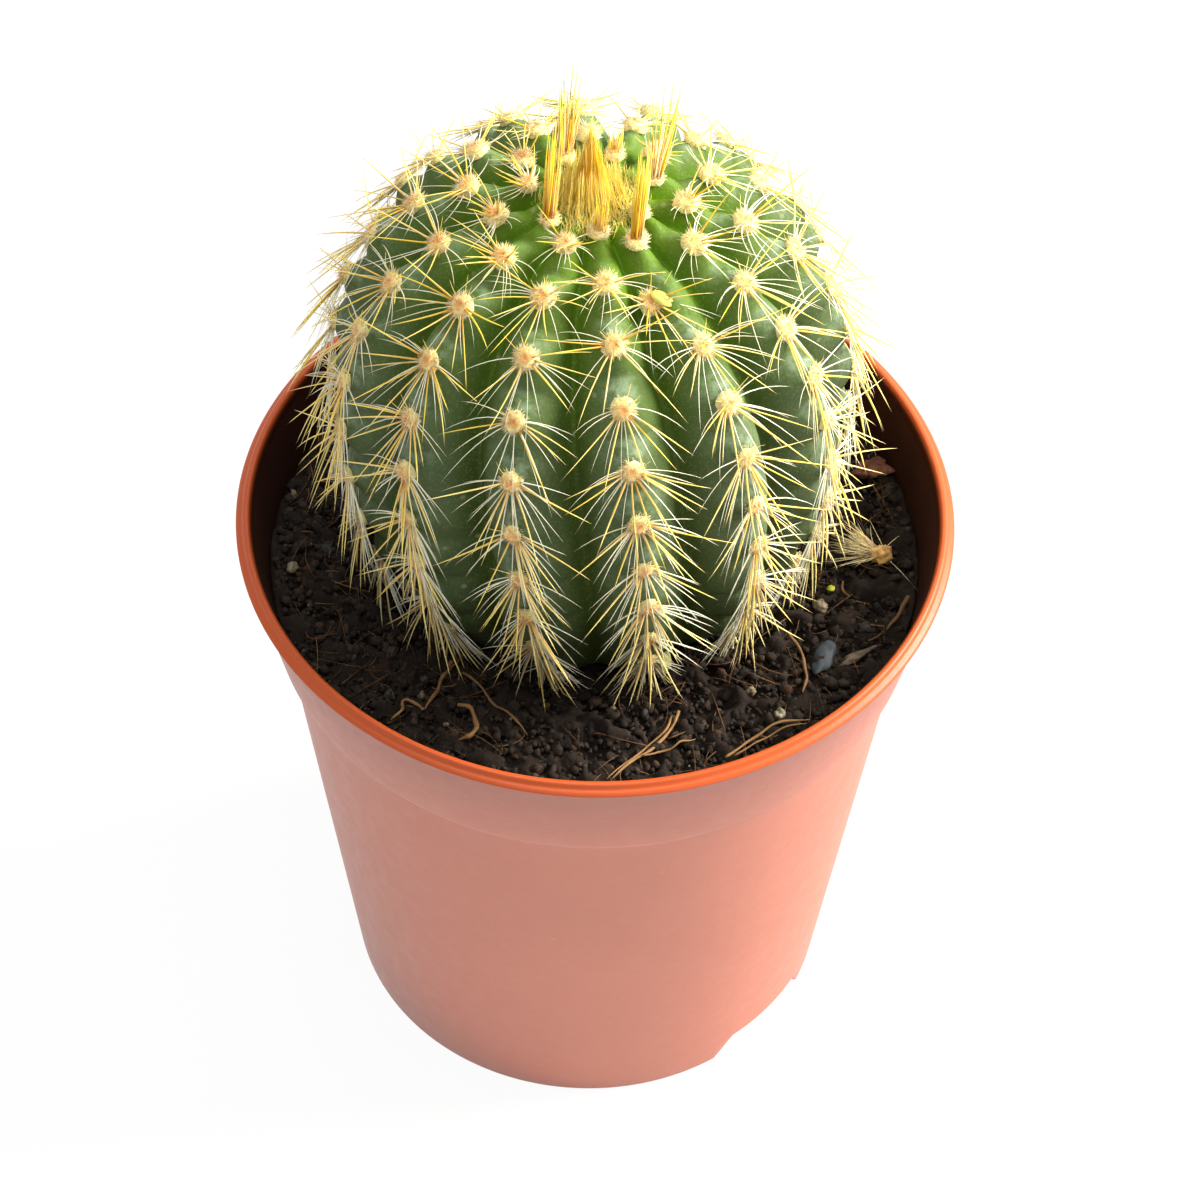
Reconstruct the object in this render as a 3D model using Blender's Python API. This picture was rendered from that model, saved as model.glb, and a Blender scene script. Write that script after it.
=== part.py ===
"""Ribbed golden-spined cactus growing in a small terracotta-coloured nursery pot.

The model stands on Z = 0 with the pot's axis on the Z axis and the plant's best side towards -Y.
Lengths below are in millimetres and angles in degrees; meshes are written in metres.
An azimuth is measured from the front (-Y) towards the right (+X).
"""

import math

import bmesh
import bpy
import numpy as np
from mathutils import Matrix, Vector

MM = 0.001
GAP = 0.3  # clearance between neighbouring solids

# Pot: one moulded piece of the 6.5 cm size, 64.4 mm across its lip.
POT_HEIGHT = 59.4
RIM_RADIUS = 32.2
LIP_WIDTH = 1.5
LIP_DEPTH = 1.0
BEAD_DROP = 0.6  # the lip's outer bead lies this far under its top
COLLAR_TOP_RADIUS = 31.6
COLLAR_FOOT_RADIUS = 29.3
COLLAR_FOOT_HEIGHT = 47.6
WALL_TOP_RADIUS = 28.4
WALL_TOP_HEIGHT = 46.6
FOOT_RADIUS = 22.7
WALL = 1.0
FOOT_RING_WIDTH = 1.3
FLOOR_UNDERSIDE = 3.4
FLOOR_TOP = 4.4
POT_SEGMENTS = 48

# Two low arches through the foot ring, and round drainage holes in the floor.
ARCH_AZIMUTHS = (50.0, 230.0)
ARCH_FOOT_WIDTH = 12.6
ARCH_TOP_WIDTH = 9.0
ARCH_HEIGHT = 3.0
CENTRE_HOLE_RADIUS = 3.5
OUTER_HOLE_RADIUS = 2.2
OUTER_HOLE_RING = 14.0
OUTER_HOLES = 6

# Soil
SOIL_LEVEL = 52.6
SOIL_WAVE = 0.35  # height of the gentle unevenness of its top
SOIL_RINGS = 5

# Stem: a superellipse profile carrying 14 ribs, with a short root neck under the soil.
RIBS = 14
CREST_RADIUS = 22.4
WIDEST_HEIGHT = 73.8
CROWN_RISE = 21.7
CROWN_ROUNDNESS = 2.33
BASE_DROP = 28.5
BASE_ROUNDNESS = 2.2
STEM_OFFSET = (-0.65, 2.75)
STEM_LEAN = (-0.009, 0.031)
FRONT_RIB_AZIMUTH = 10.7
CROWDING = 3.6  # the ribs stand up to this many degrees off an even spacing, closer at the back
TWIST_PER_MM = -0.232
RIB_DEPTH = 4.0
CROWN_DIMPLE = 1.0
CROWN_DIMPLE_RADIUS = 3.5
COLUMNS_PER_RIB = 6
STEM_ROWS = 18
ROOT_NECK = ((4.2, 1.0), (3.0, 5.0), (1.6, 9.0))  # radius, depth under the stem's base
ROOT_TIP_DEPTH = 9.6

# Areoles: the spine cushions, spaced along each rib's crest from the crown down.
AREOLE_SPACING = 5.28
AREOLE_STARTS = (4.7, 6.6, 4.6, 7.9, 5.5, 7.6, 5.2, 7.9, 5.0, 7.4, 5.6, 8.4, 4.8, 6.4)
LOWEST_AREOLE_HEIGHT = 55.0

# A spine row's cross-sections about one areole: place along the crest, half width, height.
PAD_SECTIONS = ((-0.9, 0.25, 0.35), (-0.5, 0.9, 0.9), (0.5, 0.9, 0.9), (1.0, 0.2, 0.35))
# Spines on each side of an areole: place along the crest, share of the side reach, height.
SPINE_TIPS = ((-1.6, 0.75, 2.9), (1.0, 1.0, 2.3), (3.2, 0.6, 1.5))
SIDE_REACH = 4.0
SIDE_REACH_PER_RADIUS = 0.17
FULL_PAD_REACH = 1.8  # side reach under which the pads narrow too
SPINE_HEADROOM = 3.5  # height over the soil at which the spines reach full length
SPINE_SOIL_CLEARANCE = 0.9

# Crown bristles, and the dry spine cluster lying beside the stem: rings of a low boss whose faces
# rise to points. Each ring is a share of the base radius and a height in base radii.
BOSS_RINGS = ((0.35, 0.3), (0.75, 0.2), (1.0, 0.0))
BRISTLES_AROUND = 9
OUTER_BRISTLE_SHARE = 0.72
CROWN_BASE_RADIUS = 2.6
CROWN_BRISTLE_LENGTH = 8.6
CROWN_SPREAD = 0.2
SHED_PLACE = (26.0, 0.1)
SHED_DIRECTION = (-0.9, 0.3, 0.32)
SHED_BASE_RADIUS = 1.0
SHED_BRISTLE_LENGTH = 4.4
SHED_SPREAD = 1.3

# Litter: thickness and route of each fibre, as x, y on the soil.
FIBRES = {
    "root_fibre_1": (0.55, ((-12.4, -13.4), (-12.7, -14.6), (-13.2, -15.8), (-13.8, -17.4), (-14.5, -19.2))),
    "root_fibre_2": (0.50, ((-15.4, -18.5), (-16.5, -18.0), (-16.6, -19.3), (-17.5, -20.2))),
    "root_fibre_3": (0.55, ((-11.6, -18.5), (-10.5, -19.1), (-10.0, -20.5), (-10.2, -21.9), (-11.5, -22.4))),
    "root_fibre_4": (0.45, ((-11.4, -14.9), (-9.6, -16.6), (-8.3, -18.6), (-6.6, -20.0), (-5.5, -21.6))),
    "root_fibre_5": (0.50, ((11.8, -23.6), (14.1, -21.5), (15.8, -20.1), (19.3, -19.2))),
    "root_fibre_6": (0.55, ((17.4, -9.3), (18.3, -10.5), (18.8, -12.8), (19.0, -14.2), (18.7, -16.3))),
    "root_fibre_7": (0.60, ((28.3, -4.6), (27.4, -6.6), (26.3, -8.7))),
    "straw_1": (0.85, ((7.7, -18.4), (6.9, -20.6), (4.4, -23.4), (2.0, -26.0))),
    "straw_2": (0.70, ((6.5, -22.6), (7.8, -21.9), (9.2, -21.2))),
}
FIBRE_STEP = 1.6
# Chips: place, half sizes, turn.
CHIPS = {
    "bark_chip_1": ((25.3, 10.6), (1.7, 1.1, 0.55), 20.0),
    "bark_chip_2": ((23.6, -11.5), (1.7, 0.5, 0.4), 35.0),
    "stone_chip_1": ((20.6, -11.8), (0.9, 1.9, 0.6), -20.0),
}
# Grit: place, radius.
GRAINS = {
    "grit_grain_1": ((20.4, -5.8), 0.6),
    "grit_grain_2": ((-27.2, -3.1), 0.6),
    "grit_grain_3": ((16.6, -18.6), 0.55),
    "grit_grain_4": ((21.4, -3.4), 0.5),
}
CHIP_ROUGHNESS = 0.18
LITTER_SEED = 7


def clear_scene():
    for old in list(bpy.data.objects):
        bpy.data.objects.remove(old, do_unlink=True)


def plain_material(name, colour, roughness):
    """A Principled material of one colour (linear RGB)."""
    material = bpy.data.materials.new(name)
    material.use_nodes = True
    shader = material.node_tree.nodes["Principled BSDF"]
    shader.inputs["Base Color"].default_value = (*colour, 1.0)
    shader.inputs["Roughness"].default_value = roughness
    shader.inputs["Metallic"].default_value = 0.0
    return material


def link_object(name, data):
    made = bpy.data.objects.new(name, data)
    bpy.context.scene.collection.objects.link(made)
    return made


def mesh_object(name, points, faces, material, sharp_angle=40.0):
    """A smooth-shaded object from points in millimetres."""
    mesh = bpy.data.meshes.new(name)
    mesh.from_pydata((np.asarray(points, float) * MM).tolist(), [], faces)
    mesh.materials.append(material)
    mesh.shade_smooth()
    mesh.set_sharp_from_angle(angle=math.radians(sharp_angle))
    return link_object(name, mesh)


def ring_stack(rings, first_pole, last_pole):
    """Points and faces of rings with equally many points, closed by a pole at each end.

    The rings run from the first pole to the last over the top of the solid and down its outside,
    and each runs round towards greater azimuth, so that the faces point away from the solid.
    """
    rings = np.asarray(rings, float)
    count, columns, _ = rings.shape
    points = np.concatenate([rings.reshape(-1, 3), [first_pole], [last_pole]])
    first_index = count * columns
    last_index = first_index + 1
    last_ring = first_index - columns
    faces = []
    for j in range(columns):
        k = (j + 1) % columns
        faces.append((first_index, j, k))
        for upper in range(0, last_ring, columns):
            lower = upper + columns
            faces.append((upper + j, lower + j, lower + k, upper + k))
        faces.append((last_index, last_ring + k, last_ring + j))
    return points, faces


# Pot ---------------------------------------------------------------------------------------------

def inner_radius(height):
    """Inner radius of the pot, one wall thickness inside its wall, step and collar."""
    heights = (0.0, WALL_TOP_HEIGHT, COLLAR_FOOT_HEIGHT, POT_HEIGHT)
    radii = (FOOT_RADIUS, WALL_TOP_RADIUS, COLLAR_FOOT_RADIUS, COLLAR_TOP_RADIUS + 0.25)
    return float(np.interp(height, heights, radii)) - WALL


def pot_profile():
    """Lip and outside from the top down, the underside, the floor, then up the inside."""
    top = POT_HEIGHT
    lip_inner = RIM_RADIUS - LIP_WIDTH
    ring_inner = FOOT_RADIUS - FOOT_RING_WIDTH
    outside = [
        (RIM_RADIUS - 0.25, top - BEAD_DROP),
        (RIM_RADIUS, top - BEAD_DROP - 0.2),
        (RIM_RADIUS - 0.05, top - LIP_DEPTH),
        (COLLAR_TOP_RADIUS, top - LIP_DEPTH - 0.1),
        (COLLAR_FOOT_RADIUS, COLLAR_FOOT_HEIGHT),
        (WALL_TOP_RADIUS, WALL_TOP_HEIGHT),
        (FOOT_RADIUS + 0.1, 0.7),
        (FOOT_RADIUS - 0.4, 0.0),
    ]
    underside = [
        (ring_inner, 0.0),
        (ring_inner, FLOOR_UNDERSIDE),
        (CENTRE_HOLE_RADIUS, FLOOR_UNDERSIDE),
        (CENTRE_HOLE_RADIUS, FLOOR_TOP),
    ]
    inside = [
        (inner_radius(FLOOR_TOP), FLOOR_TOP),
        (inner_radius(WALL_TOP_HEIGHT), WALL_TOP_HEIGHT),
        (inner_radius(COLLAR_FOOT_HEIGHT), COLLAR_FOOT_HEIGHT),
        (inner_radius(top - LIP_DEPTH), top - LIP_DEPTH),
        (lip_inner, top - 0.35),
        (lip_inner + 0.25, top),
        (lip_inner + 0.75, top),
        (lip_inner + 0.95, top - BEAD_DROP + 0.05),
    ]
    return outside + underside + inside


def cut_away(target, name, points, faces):
    """Takes a hidden solid away from the target."""
    tool = mesh_object(name, points, faces, target.data.materials[0])
    tool.hide_render = True
    tool.display_type = "WIRE"
    cut = target.modifiers.new(name, "BOOLEAN")
    cut.operation = "DIFFERENCE"
    cut.solver = "EXACT"
    cut.object = tool


def arch_tool(azimuth):
    """A trapezoid carried outwards through the foot ring, reaching under the floor it stands on."""
    below = 1.0
    flare = (ARCH_FOOT_WIDTH - ARCH_TOP_WIDTH) / 2 * below / ARCH_HEIGHT
    outline = (
        (-ARCH_FOOT_WIDTH / 2 - flare, -below),
        (ARCH_FOOT_WIDTH / 2 + flare, -below),
        (ARCH_TOP_WIDTH / 2, ARCH_HEIGHT),
        (-ARCH_TOP_WIDTH / 2, ARCH_HEIGHT),
    )
    turn = Matrix.Rotation(math.radians(azimuth), 3, "Z")
    points = []
    for distance in (FOOT_RADIUS + 4.0, FOOT_RADIUS - 5.5):
        points += [turn @ Vector((side, -distance, height)) for side, height in outline]
    faces = [(0, 1, 2, 3), (7, 6, 5, 4)]
    faces += [(i, i + 4, (i + 1) % 4 + 4, (i + 1) % 4) for i in range(4)]
    return points, faces


def hole_tool(x, y, segments=16):
    """An upright round pin through the pot's floor."""
    turns = np.linspace(0.0, 2 * np.pi, segments, endpoint=False)
    around = np.stack([x + OUTER_HOLE_RADIUS * np.sin(turns), y - OUTER_HOLE_RADIUS * np.cos(turns)], -1)
    heights = (FLOOR_TOP + 1.5, FLOOR_UNDERSIDE - 1.5)
    rings = [np.column_stack([around, np.full(segments, height)]) for height in heights]
    return ring_stack(rings, (x, y, heights[0]), (x, y, heights[1]))


def make_pot(material):
    """The profile turned about Z, with the foot arches and the drainage holes cut out."""
    profile = [(radius * MM, 0.0, height * MM) for radius, height in pot_profile()]
    edges = [(i, (i + 1) % len(profile)) for i in range(len(profile))]
    mesh = bpy.data.meshes.new("pot")
    mesh.from_pydata(profile, edges, [])
    mesh.materials.append(material)
    pot = link_object("pot", mesh)

    turn = pot.modifiers.new("turn", "SCREW")
    turn.axis = "Z"
    turn.steps = POT_SEGMENTS
    turn.render_steps = POT_SEGMENTS
    turn.use_merge_vertices = True
    turn.merge_threshold = 0.00001
    turn.use_smooth_shade = True

    for number, azimuth in enumerate(ARCH_AZIMUTHS, start=1):
        cut_away(pot, f"arch_tool_{number}", *arch_tool(azimuth))
    for number in range(OUTER_HOLES):
        turned = 2 * math.pi * number / OUTER_HOLES
        x, y = OUTER_HOLE_RING * math.sin(turned), OUTER_HOLE_RING * math.cos(turned)
        cut_away(pot, f"hole_tool_{number + 1}", *hole_tool(x, y))


# Stem --------------------------------------------------------------------------------------------

def stem_profile(turn):
    """Crest radius, rise and outward normal (radial, up) at turns from 0, crown, to pi, base.

    Each half is a quarter superellipse: (radius / CREST_RADIUS) ** n + (rise / full rise) ** n = 1.
    """
    turn = np.asarray(turn, float)
    upper = turn <= np.pi / 2
    power = np.where(upper, CROWN_ROUNDNESS, BASE_ROUNDNESS)
    full_rise = np.where(upper, CROWN_RISE, BASE_DROP)
    across = np.clip(np.sin(turn), 0.0, 1.0) ** (2 / power)
    along = np.abs(np.cos(turn)) ** (2 / power)
    up = np.where(upper, 1.0, -1.0)
    normal_r = across ** (power - 1) / CREST_RADIUS
    normal_z = up * along ** (power - 1) / full_rise
    size = np.hypot(normal_r, normal_z)
    return across * CREST_RADIUS, up * along * full_rise, normal_r / size, normal_z / size


def rib_depth(radius, rise):
    """How deep the furrows lie: shallower towards the crown and fading out under the soil."""
    towards_crown = (radius / CREST_RADIUS) ** 0.75
    below = np.clip(-rise / BASE_DROP, 0.0, 1.0)
    return RIB_DEPTH * towards_crown * np.clip(1.0 - 1.1 * below**1.6, 0.0, 1.0)


def leaning(x, y, rise):
    """Place in the pot of a point given about the middle of the stem's widest level."""
    return np.stack(
        [
            x + STEM_OFFSET[0] + STEM_LEAN[0] * rise,
            y + STEM_OFFSET[1] + STEM_LEAN[1] * rise,
            WIDEST_HEIGHT + rise - STEM_LEAN[0] * x - STEM_LEAN[1] * y,
        ],
        axis=-1,
    )


def rib_azimuth(rib, rise):
    """Azimuth of a rib number at a rise, in radians."""
    crowding = CROWDING * np.sin(2 * np.pi * (rib + 1.0) / RIBS)
    return np.radians(FRONT_RIB_AZIMUTH + 360.0 / RIBS * rib + crowding + TWIST_PER_MM * rise)


def stem_surface(turn, rib, out=0.0):
    """Points of the ribbed skin. turn runs from crown to base, and rib counts ribs from the front.

    A whole rib number is a crest and a half one a furrow. The skin lies rib_depth times
    1 - |cos(pi rib)| under the crest profile, and out further off it.
    """
    radius, rise, normal_r, normal_z = stem_profile(turn)
    rib = np.asarray(rib, float)
    off = out - rib_depth(radius, rise) * (1.0 - np.abs(np.cos(np.pi * rib)))
    dimple = CROWN_DIMPLE * np.exp(-((radius / CROWN_DIMPLE_RADIUS) ** 2)) * (rise > 0)
    skin_radius = np.maximum(radius + normal_r * off, 0.0)
    skin_rise = rise + normal_z * off - dimple
    azimuth = rib_azimuth(rib, rise)
    return leaning(skin_radius * np.sin(azimuth), -skin_radius * np.cos(azimuth), skin_rise)


def rib_columns():
    return np.arange(RIBS * COLUMNS_PER_RIB) / COLUMNS_PER_RIB


def root_rings(out=0.0):
    """Rings of the root neck, from the stem's base down."""
    azimuth = rib_azimuth(rib_columns(), -BASE_DROP)
    rings = []
    for radius, depth in ROOT_NECK:
        x, y = (radius + out) * np.sin(azimuth), -(radius + out) * np.cos(azimuth)
        rings.append(leaning(x, y, np.full_like(x, -BASE_DROP - depth - out)))
    return rings


def make_stem(material):
    turns = np.linspace(0.0, np.pi, STEM_ROWS + 2)[1:-1]
    rings = [stem_surface(turn, rib_columns()) for turn in turns]
    crown = leaning(0.0, 0.0, CROWN_RISE - CROWN_DIMPLE)
    root_tip = leaning(0.0, 0.0, -BASE_DROP - ROOT_TIP_DEPTH)
    mesh_object("cactus_stem", *ring_stack(rings + root_rings(), crown, root_tip), material)


# Soil --------------------------------------------------------------------------------------------

def soil_height(x, y):
    """The soil's top: level, with slow waves about 30 mm long."""
    return SOIL_LEVEL + SOIL_WAVE * np.sin(0.21 * x + 0.4) * np.cos(0.17 * y + 0.3)


def soil_line(out):
    """Where each column of the stem, grown by out, comes down to the soil, as x, y."""
    turns = np.linspace(np.pi / 2, np.pi, 300)
    skin = stem_surface(turns[:, None], rib_columns()[None, :], out)
    above = skin[..., 2] > soil_height(skin[..., 0], skin[..., 1])
    return skin[above.sum(axis=0) - 1, np.arange(skin.shape[1]), :2]


def make_soil(material):
    """The fill between pot and stem: up the hollow round the root, over the top and down the wall."""
    out = GAP + 0.08
    turns = np.linspace(0.0, np.pi, STEM_ROWS + 2)[1:-1]
    buried = turns[WIDEST_HEIGHT + stem_profile(turns)[1] < SOIL_LEVEL - 1.0][::-1]
    rings = root_rings(out)[::-1]
    rings += [stem_surface(turn, rib_columns(), out) for turn in buried]

    inner = soil_line(out)
    azimuth = np.arctan2(inner[:, 0], -inner[:, 1])
    around = np.stack([np.sin(azimuth), -np.cos(azimuth)], axis=-1)
    outer = around * (inner_radius(SOIL_LEVEL) - out)
    for share in np.linspace(0.0, 1.0, SOIL_RINGS):
        flat = inner + (outer - inner) * share
        rings.append(np.column_stack([flat, soil_height(flat[:, 0], flat[:, 1])]))

    floor = FLOOR_TOP + GAP
    side = (
        (inner_radius(COLLAR_FOOT_HEIGHT), COLLAR_FOOT_HEIGHT + 0.2),
        (inner_radius(WALL_TOP_HEIGHT), WALL_TOP_HEIGHT - 0.2),
        (inner_radius(floor), floor),
    )
    for radius, height in side:
        rings.append(np.column_stack([around * (radius - out), np.full(len(around), height)]))

    cavity_foot = leaning(0.0, 0.0, -BASE_DROP - ROOT_TIP_DEPTH - out)
    mesh_object("potting_soil", *ring_stack(rings, cavity_foot, (0.0, 0.0, floor)), material)


# Spines ------------------------------------------------------------------------------------------

def crest_frame(turn, rib):
    """Place on a rib's crest, and the directions down along it, sideways and out from it."""
    step = 0.01
    place = stem_surface(turn, rib)
    down = stem_surface(turn + step, rib) - stem_surface(turn - step, rib)
    down /= np.linalg.norm(down)
    azimuth = rib_azimuth(rib, stem_profile(turn)[1])
    side = np.array([np.cos(azimuth), np.sin(azimuth), 0.0])
    side -= down * (side @ down)
    side /= np.linalg.norm(side)
    return place, down, side, np.cross(down, side)


def crest_lengths():
    """Turns, and how far along the crest from the crown each lies."""
    turns = np.linspace(0.0, np.pi, 600)
    radius, rise, _, _ = stem_profile(turns)
    steps = np.hypot(np.diff(radius), np.diff(rise))
    return turns, np.concatenate([[0.0], np.cumsum(steps)])


def make_spine_row(rib, material):
    """A rib's spines as one solid.

    A thin three-sided strip follows the crest one gap above the skin. It widens into a pad at each
    areole, where each side face rises to a point, which makes three spines on each side.
    """
    turns, lengths = crest_lengths()
    points, faces = [], []
    before = None
    for centre in np.arange(AREOLE_STARTS[rib], lengths[-1], AREOLE_SPACING):
        place, down, side, outward = crest_frame(np.interp(centre, lengths, turns), rib)
        if place[2] < LOWEST_AREOLE_HEIGHT:
            break
        radius = np.interp(centre, lengths, stem_profile(turns)[0])
        side_reach = min(SIDE_REACH, SIDE_REACH_PER_RADIUS * radius)
        pad_share = min(1.0, side_reach / FULL_PAD_REACH)
        over_soil = place[2] - soil_height(place[0], place[1]) - SPINE_SOIL_CLEARANCE
        reach = pad_share * np.clip(over_soil / SPINE_HEADROOM, 0.2, 1.0)
        for number, (along, half_width, height) in enumerate(PAD_SECTIONS):
            crest, _, across, out = crest_frame(np.interp(centre + along, lengths, turns), rib)
            base = crest + out * GAP
            width = across * half_width * pad_share
            here = len(points)
            points += [base - width, base + out * height, base + width]
            if before is None:
                faces.append((here, here + 1, here + 2))
            else:
                faces.append((before, before + 2, here + 2, here))
                for corner, sign in ((0, -1.0), (1, 1.0)):
                    quad = (before + corner, here + corner, here + corner + 1, before + corner + 1)
                    if number == 0:
                        faces.append(quad)
                        continue
                    tip_along, tip_side, tip_height = SPINE_TIPS[number - 1]
                    tip = place + down * tip_along * reach + outward * tip_height
                    tip = tip + side * sign * tip_side * side_reach
                    faces += [(quad[n], quad[(n + 1) % 4], len(points)) for n in range(4)]
                    points.append(tip)
            before = here
    faces.append((before + 2, before + 1, before))
    mesh_object(f"spine_row_{rib + 1:02d}", points, faces, material)


def bristle_boss(base_radius, length, spread):
    """A low round boss, axis up, whose side faces and top each rise to a bristle's point.

    A bristle starts at its face and ends length higher, moved out by spread times its distance
    from the axis; the outer ones are shorter.
    """
    turns = np.linspace(0.0, 2 * np.pi, BRISTLES_AROUND, endpoint=False)
    around = np.stack([np.sin(turns), -np.cos(turns)], axis=-1)
    rings = [
        np.column_stack([around * share * base_radius, np.full(len(turns), height * base_radius)])
        for share, height in BOSS_RINGS
    ]
    points, faces = ring_stack(rings, (0.0, 0.0, length * 1.05), (0.0, 0.0, 0.0))
    points = list(points)
    raised = []
    for face in faces:
        if len(face) == 3:
            raised.append(face)
            continue
        middle = np.mean([points[corner] for corner in face], axis=0)
        share = np.hypot(middle[0], middle[1]) / base_radius
        tip = middle * (1.0 + spread, 1.0 + spread, 0.0)
        tip[2] = length * (1.0 - (1.0 - OUTER_BRISTLE_SHARE) * share)
        raised += [(face[n], face[(n + 1) % 4], len(points)) for n in range(4)]
        points.append(tip)
    return np.array(points), raised


def make_crown_bristles(material):
    """The upright tuft in the crown's dimple, one gap above the young rib tops."""
    points, faces = bristle_boss(CROWN_BASE_RADIUS, CROWN_BRISTLE_LENGTH, CROWN_SPREAD)
    crown = leaning(0.0, 0.0, CROWN_RISE - CROWN_DIMPLE / 2 + GAP)
    mesh_object("crown_bristles", points + crown, faces, material)


# Litter on the soil ------------------------------------------------------------------------------

def on_soil(points):
    """The points lowered or raised so that they clear the soil by one gap."""
    points = np.asarray(points, float)
    clearance = points[:, 2] - soil_height(points[:, 0], points[:, 1])
    return points - np.array([0.0, 0.0, clearance.min() - GAP])


def make_shed_cluster(material):
    """A dry spine cluster on its side, its bristles pointing at the stem."""
    points, faces = bristle_boss(SHED_BASE_RADIUS, SHED_BRISTLE_LENGTH, SHED_SPREAD)
    turn = Vector((0.0, 0.0, 1.0)).rotation_difference(Vector(SHED_DIRECTION)).to_matrix()
    points = points @ np.array(turn).T + np.array([*SHED_PLACE, 0.0])
    mesh_object("shed_spine_cluster", on_soil(points), faces, material)


def smooth_route(corners):
    """Points about FIBRE_STEP apart on a Catmull-Rom curve through the corners."""
    corners = np.asarray(corners, float)
    padded = np.vstack([2 * corners[0] - corners[1], corners, 2 * corners[-1] - corners[-2]])
    route = [corners[0]]
    for a, b, c, d in zip(padded, padded[1:], padded[2:], padded[3:]):
        steps = max(1, round(float(np.linalg.norm(c - b)) / FIBRE_STEP))
        for share in np.arange(1, steps + 1) / steps:
            straight = 2 * b + (c - a) * share
            bent = (2 * a - 5 * b + 4 * c - d) * share**2 + (3 * b - a - 3 * c + d) * share**3
            route.append((straight + bent) / 2)
    return np.array(route)


def make_fibre(name, thickness, corners, material):
    """A root fibre or straw: a thin tube lying along the soil."""
    route = smooth_route(corners)
    heights = soil_height(route[:, 0], route[:, 1]) + GAP + thickness / 2
    curve = bpy.data.curves.new(name, "CURVE")
    curve.dimensions = "3D"
    curve.bevel_depth = thickness / 2 * MM
    curve.bevel_resolution = 1
    curve.use_fill_caps = True
    curve.materials.append(material)
    spline = curve.splines.new("POLY")
    spline.points.add(len(route) - 1)
    flat = np.column_stack([route, heights, np.full(len(route), 1000.0)]) * MM
    spline.points.foreach_set("co", flat.ravel())
    link_object(name, curve)


def make_chunk(name, place, half_sizes, turn, subdivisions, material, randoms):
    """A crumb of bark or grit: an icosphere squeezed to size, with seeded dents."""
    crumb = bpy.data.meshes.new(name)
    builder = bmesh.new()
    bmesh.ops.create_icosphere(builder, subdivisions=subdivisions, radius=1.0)
    points = np.array([vertex.co[:] for vertex in builder.verts])
    points *= 1.0 + CHIP_ROUGHNESS * randoms.uniform(-1.0, 1.0, (len(points), 1))
    points = points * half_sizes
    turned = np.array(Matrix.Rotation(math.radians(turn), 3, "Z"))
    points = on_soil(points @ turned.T + np.array([*place, 0.0]))
    for vertex, point in zip(builder.verts, points * MM):
        vertex.co = point
    builder.to_mesh(crumb)
    builder.free()
    crumb.materials.append(material)
    link_object(name, crumb)


def main():
    clear_scene()
    spine_gold = plain_material("spine_gold", (0.80, 0.60, 0.24), 0.5)
    dry_fibre = plain_material("dry_fibre", (0.30, 0.18, 0.08), 0.8)
    bark = plain_material("bark", (0.12, 0.06, 0.04), 0.9)
    grit = plain_material("grit", (0.50, 0.44, 0.34), 0.7)

    make_pot(plain_material("terracotta_plastic", (0.60, 0.16, 0.08), 0.42))
    make_soil(plain_material("peat", (0.012, 0.009, 0.007), 0.95))
    make_stem(plain_material("cactus_skin", (0.07, 0.15, 0.05), 0.45))
    for rib in range(RIBS):
        make_spine_row(rib, spine_gold)
    make_crown_bristles(spine_gold)
    make_shed_cluster(dry_fibre)
    for name, (thickness, corners) in FIBRES.items():
        make_fibre(name, thickness, corners, dry_fibre)
    randoms = np.random.default_rng(LITTER_SEED)
    for name, (place, half_sizes, turn) in CHIPS.items():
        make_chunk(name, place, half_sizes, turn, 2, bark, randoms)
    for name, (place, radius) in GRAINS.items():
        make_chunk(name, place, (radius, radius, radius * 0.8), 0.0, 1, grit, randoms)


main()
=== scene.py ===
"""Looks of a golden-spined ribbed cactus in its small nursery pot.

Lengths are millimetres, and meshes are written in metres; lamps are placed in metres. Constants and
tables give angles in degrees, and functions work in radians unless they say otherwise. An azimuth is
measured from the front (-Y) towards the right (+X).
"""

import itertools
import math

import bmesh
import bpy
import numpy as np
from mathutils import Matrix, Vector


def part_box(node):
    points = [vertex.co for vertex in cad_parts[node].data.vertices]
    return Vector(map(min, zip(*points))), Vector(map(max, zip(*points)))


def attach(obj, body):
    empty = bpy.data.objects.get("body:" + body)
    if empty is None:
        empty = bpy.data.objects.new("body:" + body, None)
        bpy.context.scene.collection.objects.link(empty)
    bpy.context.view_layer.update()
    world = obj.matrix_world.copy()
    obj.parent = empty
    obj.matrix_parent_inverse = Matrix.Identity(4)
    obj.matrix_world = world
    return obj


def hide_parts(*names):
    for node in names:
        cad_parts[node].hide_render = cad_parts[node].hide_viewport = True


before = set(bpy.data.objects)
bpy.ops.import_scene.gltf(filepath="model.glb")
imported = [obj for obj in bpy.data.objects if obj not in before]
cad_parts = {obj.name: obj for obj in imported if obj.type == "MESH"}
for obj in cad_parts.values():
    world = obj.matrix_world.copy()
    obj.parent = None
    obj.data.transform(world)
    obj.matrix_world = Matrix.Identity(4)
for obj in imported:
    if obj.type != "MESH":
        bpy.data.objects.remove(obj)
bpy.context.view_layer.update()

MM = 0.001
POT_BOX = [np.array(corner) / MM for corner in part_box("pot")]

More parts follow.
